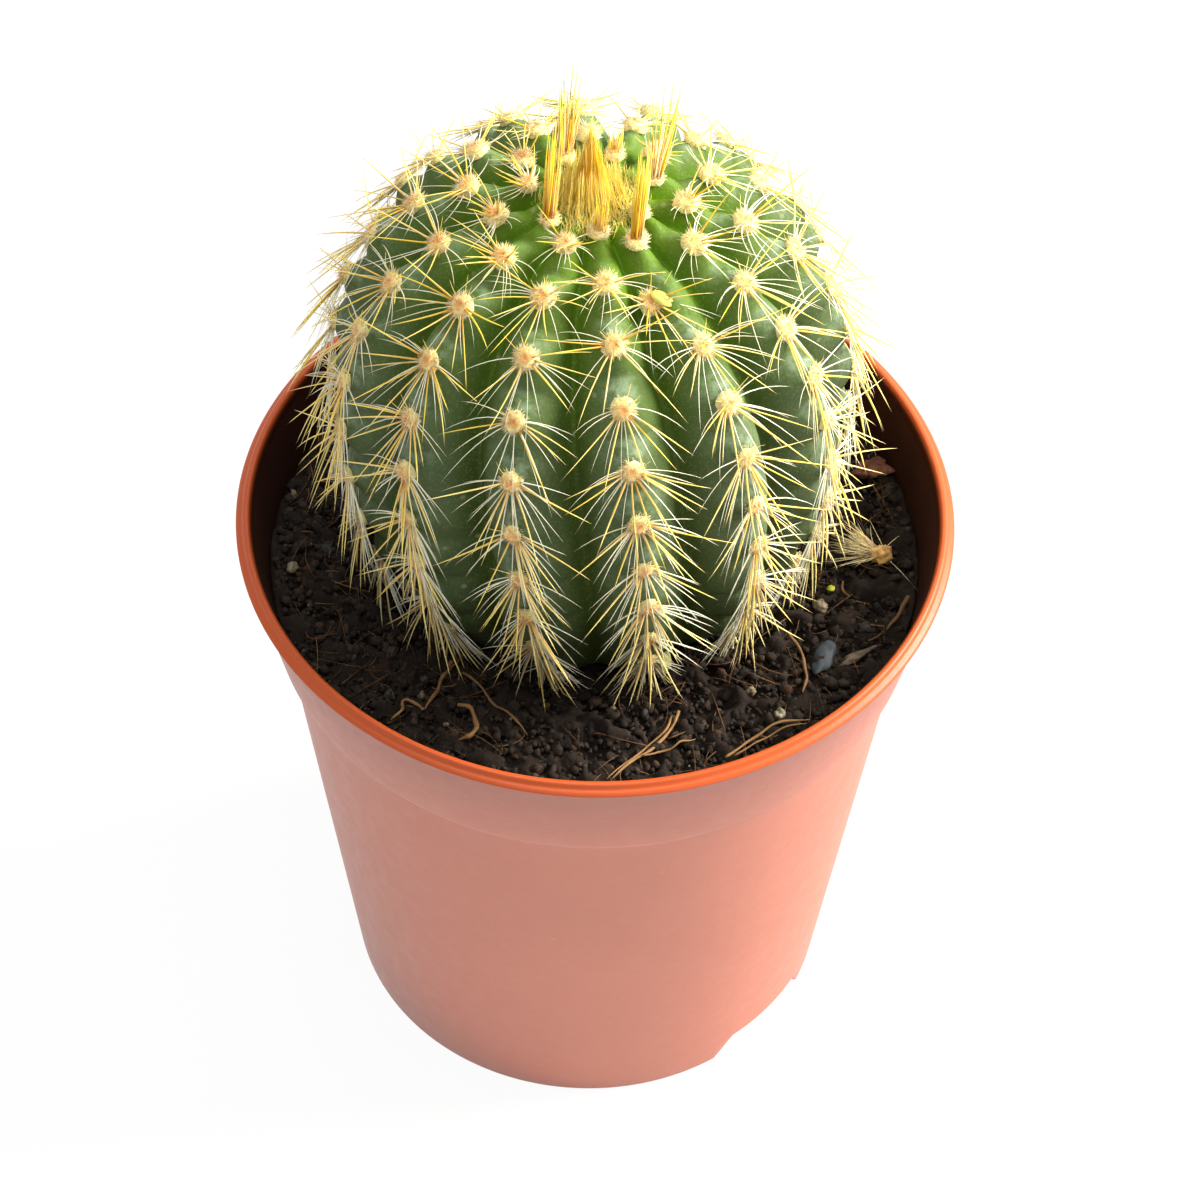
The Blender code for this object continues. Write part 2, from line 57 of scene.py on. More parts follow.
# Pot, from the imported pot's box and the moulding's own offsets.
RIM_RADIUS = POT_BOX[1][0]
POT_HEIGHT = POT_BOX[1][2]
LIP_WIDTH = 1.5
LIP_DEPTH = 1.0
BEAD_DROP = 0.6
COLLAR_TOP_RADIUS = RIM_RADIUS - 0.6
COLLAR_FOOT_RADIUS = RIM_RADIUS - 2.9
COLLAR_FOOT_HEIGHT = POT_HEIGHT - 11.8
WALL_TOP_RADIUS = RIM_RADIUS - 3.8
WALL_TOP_HEIGHT = POT_HEIGHT - 12.8
FOOT_RADIUS = RIM_RADIUS - 9.5
WALL = 1.0
FOOT_RING_WIDTH = 1.3
FLOOR_UNDERSIDE = 3.4
FLOOR_TOP = 4.4
ARCH_AZIMUTHS = (50.0, 230.0)
ARCH_FOOT_WIDTH = 12.6
ARCH_TOP_WIDTH = 9.0
ARCH_HEIGHT = 3.0
CENTRE_HOLE_RADIUS = 3.5
OUTER_HOLE_RADIUS = 2.2
OUTER_HOLE_RING = 14.0
OUTER_HOLES = 6
POT_COLUMNS = 360

# Soil
SOIL_LEVEL = 52.6
SOIL_WAVE = 0.35

# Stem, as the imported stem: a superellipse profile that carries the ribs.
RIBS = 14
CREST_RADIUS = 22.4
WIDEST_HEIGHT = 73.8
CROWN_RISE = 21.7
CROWN_ROUNDNESS = 2.33
BASE_DROP = 28.5
BASE_ROUNDNESS = 2.2
STEM_OFFSET = (-0.65, 2.75)
STEM_LEAN = (-0.009, 0.031)
FRONT_RIB_AZIMUTH = 10.7
CROWDING = 3.6
TWIST_PER_MM = -0.232
RIB_DEPTH = 4.0
FURROW_ROUNDING = 0.1
CROWN_DIMPLE = 1.0
CROWN_DIMPLE_RADIUS = 3.5

# Areoles, the spine cushions along each rib's crest.
AREOLE_SPACING = 5.28
AREOLE_STARTS = (4.7, 6.6, 4.6, 7.9, 5.5, 7.6, 5.2, 7.9, 5.0, 7.4, 5.6, 8.4, 4.8, 6.4)
LOWEST_AREOLE_HEIGHT = 53.6
PUSHED_RIB, PUSHED_AREOLE, PUSH = 1, 1, -0.3  # one areole is pushed off its crest by a young offset


# Meshes ------------------------------------------------------------------------------------------

def add_mesh(name, points, faces, material, smooth=True, **attributes):
    """A mesh object from points in millimetres, arrays of faces and a value or a colour for each point."""
    mesh = bpy.data.meshes.new(name)
    corners = np.concatenate([np.asarray(group, np.int32).ravel() for group in faces])
    sizes = np.concatenate([np.full(len(group), np.shape(group)[1], np.int32) for group in faces])
    starts = np.concatenate([[0], np.cumsum(sizes)[:-1]]).astype(np.int32)
    mesh.vertices.add(len(points))
    mesh.loops.add(len(corners))
    mesh.polygons.add(len(sizes))
    mesh.vertices.foreach_set("co", (np.asarray(points) * MM).astype(np.float32).ravel())
    mesh.loops.foreach_set("vertex_index", corners)
    mesh.polygons.foreach_set("loop_start", starts)
    for key, values in attributes.items():
        values = np.asarray(values, np.float32)
        kind, field = ("FLOAT", "value") if values.ndim == 1 else ("FLOAT_COLOR", "color")
        mesh.attributes.new(key, kind, "POINT").data.foreach_set(field, values.ravel())
    mesh.update(calc_edges=True)
    mesh.validate()
    if smooth:
        mesh.shade_smooth()
    mesh.materials.append(material)
    made = bpy.data.objects.new(name, mesh)
    bpy.context.scene.collection.objects.link(made)
    return made


def grid_faces(rows, columns):
    """Quads of a closed grid whose rows run down and whose columns run round towards greater azimuth."""
    row, column = np.meshgrid(np.arange(rows - 1), np.arange(columns), indexing="ij")
    here = row * columns
    beside = (column + 1) % columns
    quads = np.stack([here + column, here + columns + column, here + columns + beside, here + beside], -1)
    return quads.reshape(-1, 4)


def round_grid(rings):
    """Points and faces of a stack of rings, open at both ends."""
    return rings.reshape(-1, 3), [grid_faces(*rings.shape[:2])]


def capped_grid(rings, first_pole, last_pole):
    """Points and faces of a stack of rings, closed by a fan to a pole at each end."""
    points, faces = round_grid(rings)
    near = np.arange(rings.shape[1])
    beside = np.roll(near, -1)
    pole = np.full(near.shape, len(points))
    last_row = len(points) - len(near)
    faces.append(np.stack([pole, near, beside], -1))
    faces.append(np.stack([pole + 1, last_row + beside, last_row + near], -1))
    return np.concatenate([points, [first_pole], [last_pole]]), faces


def blob(centre, axes, roughness, seed, rows=14, columns=22):
    """A sphere's grid stretched along three half axes, the rows of a matrix, and dented by waves.

    The waves are a little over one half axis long, with finer and shallower ones on them.
    """
    rise = np.linspace(0, np.pi, rows + 2)[1:-1, None]
    spin = turns_round(columns)[None, :]
    sphere = np.stack([*polar(np.sin(rise), spin), np.cos(rise) + 0 * spin], -1)
    dents = 1 + roughness * waves(sphere, 1.1, 20, seed) + roughness / 2 * waves(sphere, 0.45, 20, seed + 1)
    pole = 0.97 * axes[2]
    return capped_grid((sphere * dents[..., None]) @ axes + centre, centre + pole, centre - pole)


def gathered(shapes):
    """Shapes side by side in one mesh; a shape is its points and its arrays of faces."""
    points = np.concatenate([shape[0] for shape in shapes])
    offsets = np.cumsum([0] + [len(shape[0]) for shape in shapes])[:-1]
    return points, [group + offset for (_, faces), offset in zip(shapes, offsets) for group in faces]


def welded(shapes, snap=0.0005):
    """Shapes that share their edges in one mesh: points closer than snap become one."""
    points, faces = gathered(shapes)
    _, kept, lookup = np.unique(
        np.round(points / snap).astype(np.int64), axis=0, return_index=True, return_inverse=True
    )
    return points[kept], [lookup.ravel()[group] for group in faces]


def face_outwards(obj):
    """Turns every face of a closed mesh outwards."""
    work = bmesh.new()
    work.from_mesh(obj.data)
    bmesh.ops.recalc_face_normals(work, faces=work.faces)
    work.to_mesh(obj.data)
    work.free()


def ramp(value, start, end):
    """0 where the value is start or short of it, rising evenly to 1 where it is end or past it."""
    return np.clip((value - start) / (end - start), 0, 1)


def turns_round(count):
    """Evenly spaced turns round a circle, in radians."""
    return np.linspace(0, 2 * np.pi, count, endpoint=False)


def polar(radius, turn):
    """x and y at a radius and at a turn from the front towards the right."""
    return radius * np.sin(turn), -radius * np.cos(turn)


def waves(points, length, count, seed):
    """A smooth uneven field about -1 to 1: sine waves of about one length in all directions, summed."""
    x, y, z = np.moveaxis(points, -1, 0)
    randoms = np.random.default_rng(seed)
    heading = randoms.normal(size=(count, 3))
    heading /= np.linalg.norm(heading, axis=1, keepdims=True)
    pulse = 2 * np.pi / (length * randoms.uniform(0.6, 1.6, count))
    phase = randoms.uniform(0, 2 * np.pi, count)
    total = sum(
        np.sin((a * x + b * y + c * z) * rate + start)
        for (a, b, c), rate, start in zip(heading, pulse, phase)
    )
    return total * 1.6 / math.sqrt(count)


def unit(vectors):
    """The vectors at length one."""
    return vectors / np.linalg.norm(vectors, axis=-1, keepdims=True)


def rounded_profile(corners, steps=5):
    """A profile through corners (radius, height, rounding).

    Each corner is cut by a parabola that leaves its sides one rounding away from it.
    """
    places = np.array([corner[:2] for corner in corners], float)
    line = [places[0]]
    for before, here, after, (_, _, rounding) in zip(places, places[1:], places[2:], corners[1:]):
        if rounding == 0:
            line.append(here)
            continue
        start = here + (before - here) * rounding / np.linalg.norm(before - here)
        end = here + (after - here) * rounding / np.linalg.norm(after - here)
        for t in np.linspace(0, 1, steps):
            line.append(start * (1 - t) ** 2 + here * 2 * t * (1 - t) + end * t**2)
    line.append(places[-1])
    return np.array(line)


def stretched_line(line, longest):
    """The line with its long runs divided, so that no step is longer than longest."""
    made = [line[:1]]
    for start, end in zip(line, line[1:]):
        count = max(1, math.ceil(np.linalg.norm(end - start) / longest))
        made.append(start + (end - start) * np.linspace(0, 1, count + 1)[1:, None])
    return np.concatenate(made)


# Materials ---------------------------------------------------------------------------------------

# Sockets of a Mix node that mixes colours: share, first and second colour, and the result.
SHARE, FIRST, SECOND, MIXED = 0, 6, 7, 2


def linear(colour):
    """Linear RGBA of an sRGB hex colour."""
    parts = [int(colour[i:i + 2], 16) / 255 for i in (0, 2, 4)]
    return (*[c / 12.92 if c <= 0.04045 else ((c + 0.055) / 1.055) ** 2.4 for c in parts], 1.0)


def repeats(size):
    """Pattern scale, in repeats a metre, of features about size millimetres across."""
    return 1.0 / (size * MM)


def add_node(holder, kind, output, inputs, **settings):
    """Adds a node and returns one output; an input is a value, a hex colour or another node's output."""
    tree = holder.node_tree
    made = tree.nodes.new(kind)
    for name, value in settings.items():
        setattr(made, name, value)
    for socket, value in inputs.items():
        if isinstance(value, bpy.types.NodeSocket):
            tree.links.new(value, made.inputs[socket])
        else:
            made.inputs[socket].default_value = linear(value) if isinstance(value, str) else value
    return None if output is None else made.outputs[output]


def new_material(name):
    """An empty material to which nodes are added."""
    material = bpy.data.materials.new(name)
    material.use_nodes = True
    material.node_tree.nodes.clear()
    return material


def ranged(value, *ends):
    """Inputs of a Map Range node: a value, the two ends it runs between and the two that they become."""
    return {"Value": value, **dict(zip(("From Min", "From Max", "To Min", "To Max"), ends))}


def layered(material, body, *layers):
    """A body with colours laid over it one after another.

    A layer is its colour and the field that is its share. Where two values follow, the share goes from 0
    to 1 as the field goes from one to the other, and two more are the shares that it has there instead.
    """
    for colour, share, *ends in layers:
        if ends:
            share = add_node(material, "ShaderNodeMapRange", "Result", ranged(share, *ends))
        body = add_node(
            material, "ShaderNodeMix", MIXED, {SHARE: share, FIRST: body, SECOND: colour}, data_type="RGBA"
        )
    return body


def surfaced(material, inputs, field=None, depth=0.0, strength=1.0):
    """The material with its surface put in: the inputs, and a field as relief, its depth in millimetres."""
    if field is not None:
        relief = {"Height": field, "Distance": depth * MM, "Strength": strength}
        inputs = {**inputs, "Normal": add_node(material, "ShaderNodeBump", "Normal", relief)}
    shader = add_node(material, "ShaderNodeBsdfPrincipled", "BSDF", inputs)
    add_node(material, "ShaderNodeOutputMaterial", None, {"Surface": shader})
    return material


def moulded_polypropylene():
    """Injection-moulded polypropylene, brick-coloured: satin, faintly rubbed outside, with painted shade on
    the collar, peat-stained and darkened by painted shade inside.
    """
    plastic = new_material("moulded_polypropylene")
    place = add_node(plastic, "ShaderNodeTexCoord", "Object", {})
    inside = add_node(plastic, "ShaderNodeAttribute", "Fac", {}, attribute_name="inside")
    height = add_node(plastic, "ShaderNodeSeparateXYZ", "Z", {"Vector": place})
    clouds, scuffs, patches, peel = (
        add_node(plastic, "ShaderNodeTexNoise", "Fac", {
            "Vector": place, "Scale": repeats(size), "Detail": detail, "Roughness": roughness,
        })
        for size, detail, roughness in ((14.0, 3.0, 0.5), (1.6, 6.0, 0.7), (3.5, 5.0, 0.65), (0.7, 3.0, 0.5))
    )
    collar = (WALL_TOP_HEIGHT * MM, POT_HEIGHT * MM)
    lip = ((POT_HEIGHT - LIP_DEPTH - 0.25) * MM, (POT_HEIGHT - LIP_DEPTH) * MM)
    # Handling has rubbed and chalked the wall. Painted shade darkens the collar towards the rim. The lip
    # keeps its own deeper orange, and the wall's paler, pinker colour is partly painted reflection of the
    # white room.
    # Wet peat has left a dark stain on the inner wall, made darker still by painted shade.
    stain_and_shade = layered(plastic, "140D09", ("34190E", patches))
    body = layered(
        plastic, "AA6048",
        ("B66950", clouds),
        ("D9A08C", scuffs, 0.62, 0.8, 0.0, 0.3),
        # Painted shade: darker towards the rim and deepest on the collar, under the lip.
        ("8E4C3A", height, *collar, 0.1, 0.95),
        # The lip's saturated orange; the paler body colours above are partly painted reflection of the white
        # room.
        ("B24C1E", height, *lip),
        # Peat stain on the inner wall, darkened further by painted shade.
        (stain_and_shade, inside),
    )
    gloss = add_node(plastic, "ShaderNodeMapRange", "Result", ranged(scuffs, 0.3, 0.8, 0.36, 0.5))
    gloss = add_node(plastic, "ShaderNodeMath", "Value", {0: gloss, 1: inside}, operation="MAXIMUM")
    shine = add_node(plastic, "ShaderNodeMapRange", "Result", ranged(inside, 0.0, 1.0, 0.7, 0.05))
    lip_shine = add_node(plastic, "ShaderNodeMapRange", "Result", ranged(height, *lip, 1.0, 0.45))
    shine = add_node(plastic, "ShaderNodeMath", "Value", {0: shine, 1: lip_shine}, operation="MULTIPLY")
    # The relief is the faint orange-peel of the mould's face.
    look = {"Base Color": body, "Roughness": gloss, "IOR": 1.49, "Specular IOR Level": shine}
    return surfaced(plastic, look, peel, 0.03, 0.5)


def waxy_skin():
    """Living cactus epidermis: a waxy green rind, purer in the furrows, with a grey bloom on the crests that
    is partly a painted highlight.
    """
    skin = new_material("waxy_skin")
    place = add_node(skin, "ShaderNodeTexCoord", "Object", {})
    crest, youth, bloom_and_highlight = (
        add_node(skin, "ShaderNodeAttribute", "Fac", {}, attribute_name=field)
        for field in ("crest", "youth", "bloom_and_highlight")
    )
    blotches, streaks = (
        add_node(skin, "ShaderNodeTexNoise", "Fac", {
            "Vector": place, "Scale": repeats(size), "Detail": detail, "Roughness": roughness,
        })
        for size, detail, roughness in ((5.0, 3.0, 0.5), (1.1, 4.0, 0.6))
    )
    # Stomata: pale dots about 0.3 mm apart. Specks: sparse corky spots half a millimetre across.
    dots, specks = (
        add_node(skin, "ShaderNodeTexVoronoi", "Distance", {"Vector": place, "Scale": repeats(size)})
        for size in (0.32, 2.8)
    )
    # The wax bloom, partly a painted highlight, is worn into streaks between the areoles.
    worn = add_node(skin, "ShaderNodeMapRange", "Result", ranged(streaks, 0.38, 0.66))
    bloom_and_highlight_share = add_node(skin, "ShaderNodeMath", "Value", {0: bloom_and_highlight, 1: worn}, operation="MULTIPLY")
    flank = layered(skin, "3A4928", ("566642", blotches), ("5C7E04", youth))
    furrow = layered(skin, "3A4A1A", ("5A8604", youth))
    green = layered(
        skin, furrow,
        (flank, crest, 0.1, 0.6),
        # Grey wax bloom, partly a painted highlight of the top light.
        ("8CA086", bloom_and_highlight_share),
        ("8C9A70", dots, 0.1, 0.34, 0.26, 0.0),
        ("A0A27C", specks, 0.06, 0.12, 0.35, 0.0),
    )
    wax = add_node(skin, "ShaderNodeMapRange", "Result", ranged(streaks, 0.3, 0.7, 0.42, 0.6))
    look = {
        "Base Color": green, "Roughness": wax, "IOR": 1.42, "Specular IOR Level": 0.14,
        "Subsurface Weight": 0.15, "Subsurface Radius": (0.6, 1.0, 0.15), "Subsurface Scale": 1.2 * MM,
    }
    return surfaced(skin, look, dots, 0.05, 0.5)


def horn_spines():
    """Cactus spines: smooth horn that lets light in, golden or glassy white, tan where it leaves the wool."""
    horn = new_material("horn_spines")
    gold, along, age = (
        add_node(horn, "ShaderNodeAttribute", "Fac", {}, attribute_name=field)
        for field in ("gold", "along", "age")
    )
    # Gold deepens towards the root; white spines are tinted at the very root alone.
    golden = layered(horn, "DC9E16", ("F8CE32", along, 0.1, 0.6))
    body = layered(horn, "EFEFD4", (golden, gold), ("F2EECC", age))
    root = layered(horn, "E8D2A0", ("C88628", gold))
    return surfaced(horn, {
        "Base Color": layered(horn, root, (body, along, 0.02, 0.14)),
        "Roughness": 0.45, "IOR": 1.54, "Specular IOR Level": 0.3,
        "Subsurface Weight": 0.3, "Subsurface Radius": (1.0, 0.85, 0.4), "Subsurface Scale": 0.4 * MM,
    })


def crown_horn():
    """Young spines packed upright in the crown: golden horn, bright yellow at the foot, brown half-way up."""
    horn = new_material("crown_horn")
    along, pale = (
        add_node(horn, "ShaderNodeAttribute", "Fac", {}, attribute_name=field) for field in ("along", "pale")
    )
    shaft = layered(
        horn, "FFE848", ("CC9610", along, 0.1, 0.5), ("DEB028", along, 0.6, 0.95), ("FAE270", pale)
    )
    return surfaced(horn, {
        "Base Color": shaft, "Roughness": 0.5, "IOR": 1.54, "Specular IOR Level": 0.3,
        "Subsurface Weight": 0.3, "Subsurface Radius": (1.0, 0.85, 0.3), "Subsurface Scale": 0.4 * MM,
    })


def areole_felt():
    """Areole wool: matted cream plant hair, peach where the spines crowd its middle."""
    felt = new_material("areole_felt")
    place = add_node(felt, "ShaderNodeTexCoord", "Object", {})
    middle, age = (
        add_node(felt, "ShaderNodeAttribute", "Fac", {}, attribute_name=field) for field in ("middle", "age")
    )
    threads = {"Vector": place, "Scale": repeats(0.35), "Detail": 3.0}
    tufts = add_node(felt, "ShaderNodeTexNoise", "Fac", threads)
    wool = layered(felt, "FFE88E", ("FFF5B8", tufts), ("F0E2A0", age), ("E49840", middle))
    look = {
        "Base Color": wool, "Roughness": 0.9, "IOR": 1.4, "Specular IOR Level": 0.2,
        "Sheen Weight": 0.5, "Sheen Roughness": 0.5,
        "Subsurface Weight": 0.15, "Subsurface Radius": (1.0, 0.85, 0.5), "Subsurface Scale": 0.9 * MM,
    }
    return surfaced(felt, look, tufts, 0.12)


def damp_peat():
    """Damp peat compost: nearly black crumbs, some brown or rusty, each crumb with a colour of its own."""
    peat = new_material("damp_peat")
    place = add_node(peat, "ShaderNodeTexCoord", "Object", {})
    crumb = add_node(peat, "ShaderNodeAttribute", "Color", {}, attribute_name="crumb_colour")
    fine = {"Vector": place, "Scale": repeats(0.5), "Detail": 5.0, "Roughness": 0.65}
    grain = add_node(peat, "ShaderNodeTexNoise", "Fac", fine)
    body = layered(peat, crumb, ("16110D", grain, 0.4, 0.65, 0.0, 0.7))
    look = {"Base Color": body, "Roughness": 0.85, "IOR": 1.4, "Specular IOR Level": 0.2}
    return surfaced(peat, look, grain, 0.2)


def dead_root():
    """Dry roots and straw: tan plant fibre, worn darker in patches."""
    root = new_material("dead_root")
    place = add_node(root, "ShaderNodeTexCoord", "Object", {})
    pale = add_node(root, "ShaderNodeAttribute", "Fac", {}, attribute_name="pale")
    wear = {"Vector": place, "Scale": repeats(0.8), "Detail": 4.0}
    patches = add_node(root, "ShaderNodeTexNoise", "Fac", wear)
    fibre = layered(root, "4A3220", ("987446", pale), ("68482A", patches, 0.35, 0.65, 0.0, 0.6))
    look = {"Base Color": fibre, "Roughness": 0.7, "IOR": 1.45, "Specular IOR Level": 0.3}
    return surfaced(root, look, patches, 0.06)


# Mottled finishes of small things: darkest and palest colour, size of the mottling, roughness,
# depth of its relief, in millimetres as its size is, and how much light passes in.
MOTTLED = {
    # Composted bark: rusty brown and fibrous.
    "bark_flake": ("40261A", "8A563E", 0.7, 0.85, 0.2, 0.0),
    # A sliver of weathered bark, bleached to grey-brown.
    "grey_bark": ("40352B", "7A6A58", 0.7, 0.9, 0.2, 0.0),
    # Blue-grey slate, split and dusty.
    "slate_grit": ("20262A", "363F45", 1.2, 0.65, 0.12, 0.0),
    # Weathered quartz grains, buff and slightly clear.
    "quartz_grit": ("585040", "857C62", 0.6, 0.55, 0.08, 0.3),
    # A seedling's first leaves, yellow-green and thin.
    "seed_leaf": ("7E8A14", "B4B62C", 0.5, 0.5, 0.05, 0.5),
    # A young offset's thin yellow-green skin under short down.
    "soft_bud": ("AEB43A", "E6E28A", 0.9, 0.6, 0.05, 0.5),
}


def mottled(name):
    """One of the mottled finishes: two colours of one stuff mixed by cloudy noise, with its relief."""
    dark, light, size, roughness, depth, clear = MOTTLED[name]
    stuff = new_material(name)
    place = add_node(stuff, "ShaderNodeTexCoord", "Object", {})
    mottling = {"Vector": place, "Scale": repeats(size), "Detail": 4.0}
    clouds = add_node(stuff, "ShaderNodeTexNoise", "Fac", mottling)
    body = layered(stuff, dark, (light, clouds, 0.3, 0.7))
    look = {
        "Base Color": body, "Roughness": roughness, "IOR": 1.5, "Specular IOR Level": 0.35,
        "Subsurface Weight": clear, "Subsurface Radius": (1.0, 0.9, 0.5), "Subsurface Scale": 0.6 * MM,
    }
    return surfaced(stuff, look, clouds, depth)


# Pot ---------------------------------------------------------------------------------------------

WALL_SLOPE = (WALL_TOP_RADIUS - FOOT_RADIUS) / WALL_TOP_HEIGHT
FOOT_ZONE = 3.3  # the arches squeeze what lies under this height
CENTRE_RING_RADIUS = CENTRE_HOLE_RADIUS + 2.5  # where the floor round the centre hole meets the sectors


def pot_inner_radius(height):
    """Inner radius, one wall thickness inside the wall, the step and the collar."""
    heights = (0.0, WALL_TOP_HEIGHT, COLLAR_FOOT_HEIGHT, POT_HEIGHT)
    radii = (FOOT_RADIUS, WALL_TOP_RADIUS, COLLAR_FOOT_RADIUS, COLLAR_TOP_RADIUS + 0.25)
    return np.interp(height, heights, radii) - WALL


def pot_profile():
    """From the floor's underside down the foot ring, up outside, over the lip and down to the floor."""
    top = POT_HEIGHT
    lip_inner = RIM_RADIUS - LIP_WIDTH
    ring_inner = FOOT_RADIUS - FOOT_RING_WIDTH
    return rounded_profile((
        (ring_inner, FLOOR_UNDERSIDE, 0),
        (ring_inner, 0.0, 0.25),
        (FOOT_RADIUS - 0.05, 0.0, 0.4),
        (WALL_TOP_RADIUS, WALL_TOP_HEIGHT, 0.5),
        (COLLAR_FOOT_RADIUS, COLLAR_FOOT_HEIGHT, 0.4),
        (COLLAR_TOP_RADIUS, top - LIP_DEPTH - 0.1, 0.1),
        (RIM_RADIUS - 0.1, top - LIP_DEPTH, 0.15),
        (RIM_RADIUS, top - BEAD_DROP - 0.2, 0.12),
        (RIM_RADIUS - 0.25, top - BEAD_DROP + 0.05, 0.14),
        (lip_inner + 0.95, top - BEAD_DROP + 0.18, 0.15),
        (lip_inner + 0.75, top, 0.2),
        (lip_inner + 0.35, top, 0.18),
        (lip_inner, top - 0.55, 0.2),
        (lip_inner - 0.03, top - LIP_DEPTH, 0.3),
        (pot_inner_radius(COLLAR_FOOT_HEIGHT), COLLAR_FOOT_HEIGHT, 0.5),
        (pot_inner_radius(WALL_TOP_HEIGHT), WALL_TOP_HEIGHT, 0.5),
        (pot_inner_radius(FLOOR_TOP), FLOOR_TOP, 0),
    ))


def foot_arch(azimuth):
    """Height of the foot's edge at azimuths in degrees: a flat-topped trapezoid at each arch, else 0."""
    height = np.zeros_like(azimuth)
    for middle in ARCH_AZIMUTHS:
        off = np.abs((azimuth - middle + 180.0) % 360.0 - 180.0) * np.pi / 180 * FOOT_RADIUS
        height = np.maximum(height, ARCH_HEIGHT * ramp(off, ARCH_FOOT_WIDTH / 2, ARCH_TOP_WIDTH / 2))
    return height


def floor_sector(height, edge, number, face_rows=4, side_steps=8):
    """One sixth of the pot's floor as a grid from the outline of the sector in to its drainage hole.

    A row is a straight blend between the sector's outline and its hole's circle, each outline
    point going to the circle's point in its own direction.
    """
    arc = POT_COLUMNS // OUTER_HOLES
    step = 2 * np.pi / OUTER_HOLES
    turns = number * step - step / 2 + np.linspace(0, step, arc + 1)
    radii = np.linspace(edge, CENTRE_RING_RADIUS, side_steps + 1)
    first_side, last_side = np.full(side_steps, turns[0]), np.full(side_steps, turns[-1])
    radius = np.concatenate([np.full(arc, edge), radii[:-1], np.full(arc, radii[-1]), radii[:0:-1]])
    turn = np.concatenate([turns[:-1], last_side, turns[:0:-1], first_side])
    flat = np.stack(polar(radius, turn), -1)
    centre = np.array(polar(OUTER_HOLE_RING, number * step))
    circle = centre + unit(flat - centre) * OUTER_HOLE_RADIUS
    share = np.linspace(0, 1, face_rows)[:, None, None]
    rows = flat * (1 - share) + circle * share
    return np.concatenate([rows, np.full((*rows.shape[:2], 1), height)], -1)


def make_pot(material):
    """The wall is the profile carried round, squeezed upwards over the arches; six sectors make the floor."""
    azimuth = (np.arange(POT_COLUMNS) - POT_COLUMNS // OUTER_HOLES / 2) * 360.0 / POT_COLUMNS
    profile = stretched_line(pot_profile(), 2.5)
    radius, height = np.repeat(profile[:, :1], POT_COLUMNS, 1), np.repeat(profile[:, 1:], POT_COLUMNS, 1)
    raised = foot_arch(azimuth)[None, :]
    squeezed = np.where(height < FOOT_ZONE, raised + (FOOT_ZONE - raised) * height / FOOT_ZONE, height)
    # Outside, the squeezed stretch keeps to the wall's slope.
    outside = radius > FOOT_RADIUS - FOOT_RING_WIDTH + 0.4
    radius = radius + WALL_SLOPE * (squeezed - height) * outside
    turn = np.radians(azimuth)[None, :]
    sheets = [np.stack([*polar(radius, turn), squeezed], -1)]
    for number in range(OUTER_HOLES):
        under = floor_sector(FLOOR_UNDERSIDE, profile[0, 0], number)
        top = floor_sector(FLOOR_TOP, profile[-1, 0], number)
        sheets += [under, top, np.stack([under[-1], top[-1]])]
    radius = np.array([CENTRE_RING_RADIUS, CENTRE_HOLE_RADIUS, CENTRE_HOLE_RADIUS, CENTRE_RING_RADIUS])
    level = np.repeat([FLOOR_UNDERSIDE, FLOOR_TOP], 2)[:, None] + 0 * turn
    sheets.append(np.stack([*polar(radius[:, None], turn), level], -1))
    points, faces = welded([round_grid(sheet) for sheet in sheets])

    # The peat's stain and painted shade: on the inner wall under the lip, and thinner above the soil.
    x, y, z = points.T
    inner_wall = ramp(np.hypot(x, y) - pot_inner_radius(z), 0.3, 0.1) * (z > FLOOR_TOP - 0.5)
    below_lip = ramp(z, POT_HEIGHT - 0.05, POT_HEIGHT - 0.4)
    thinner_upwards = 1 - 0.06 * ramp(z, SOIL_LEVEL, POT_HEIGHT)
    pot = add_mesh("nursery_pot", points, faces, material, inside=inner_wall * below_lip * thinner_upwards)
    face_outwards(pot)
    pot.data.set_sharp_from_angle(angle=math.radians(50))
    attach(pot, "root")
    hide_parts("pot")


# Stem --------------------------------------------------------------------------------------------

def stem_profile(turn):
    """Crest radius, rise and outward normal (radial, up) at turns from 0, crown, to pi, base.

    Each half is a quarter superellipse: (radius / CREST_RADIUS) ** n + (rise / full rise) ** n = 1.
    """
    turn = np.asarray(turn, float)
    upper = turn <= np.pi / 2
    power = np.where(upper, CROWN_ROUNDNESS, BASE_ROUNDNESS)
    full_rise = np.where(upper, CROWN_RISE, BASE_DROP)
    across = np.clip(np.sin(turn), 0.0, 1.0) ** (2 / power)
    along = np.abs(np.cos(turn)) ** (2 / power)
    up = np.where(upper, 1.0, -1.0)
    normal_r = across ** (power - 1) / CREST_RADIUS
    normal_z = up * along ** (power - 1) / full_rise
    size = np.hypot(normal_r, normal_z)
    return across * CREST_RADIUS, up * along * full_rise, normal_r / size, normal_z / size


def rib_depth(radius, rise):
    """How deep the furrows lie: shallower towards the crown and fading out under the soil."""
    towards_crown = (radius / CREST_RADIUS) ** 0.75
    below = ramp(rise, 0.0, -BASE_DROP)
    return RIB_DEPTH * towards_crown * np.clip(1.0 - 1.1 * below**1.6, 0.0, 1.0)


def crest_share(rib):
    """1 on a crest and 0 in a furrow: |cos(pi rib)| with its cusp in the furrow rounded off."""
    cosine = np.cos(np.pi * np.asarray(rib, float))
    e = FURROW_ROUNDING
    return (np.sqrt(cosine**2 + e**2) - e) / (math.sqrt(1 + e**2) - e)


def leaning(x, y, rise):
    """Place in the pot of a point given about the middle of the stem's widest level."""
    return np.stack([
        x + STEM_OFFSET[0] + STEM_LEAN[0] * rise,
        y + STEM_OFFSET[1] + STEM_LEAN[1] * rise,
        WIDEST_HEIGHT + rise - STEM_LEAN[0] * x - STEM_LEAN[1] * y,
    ], -1)


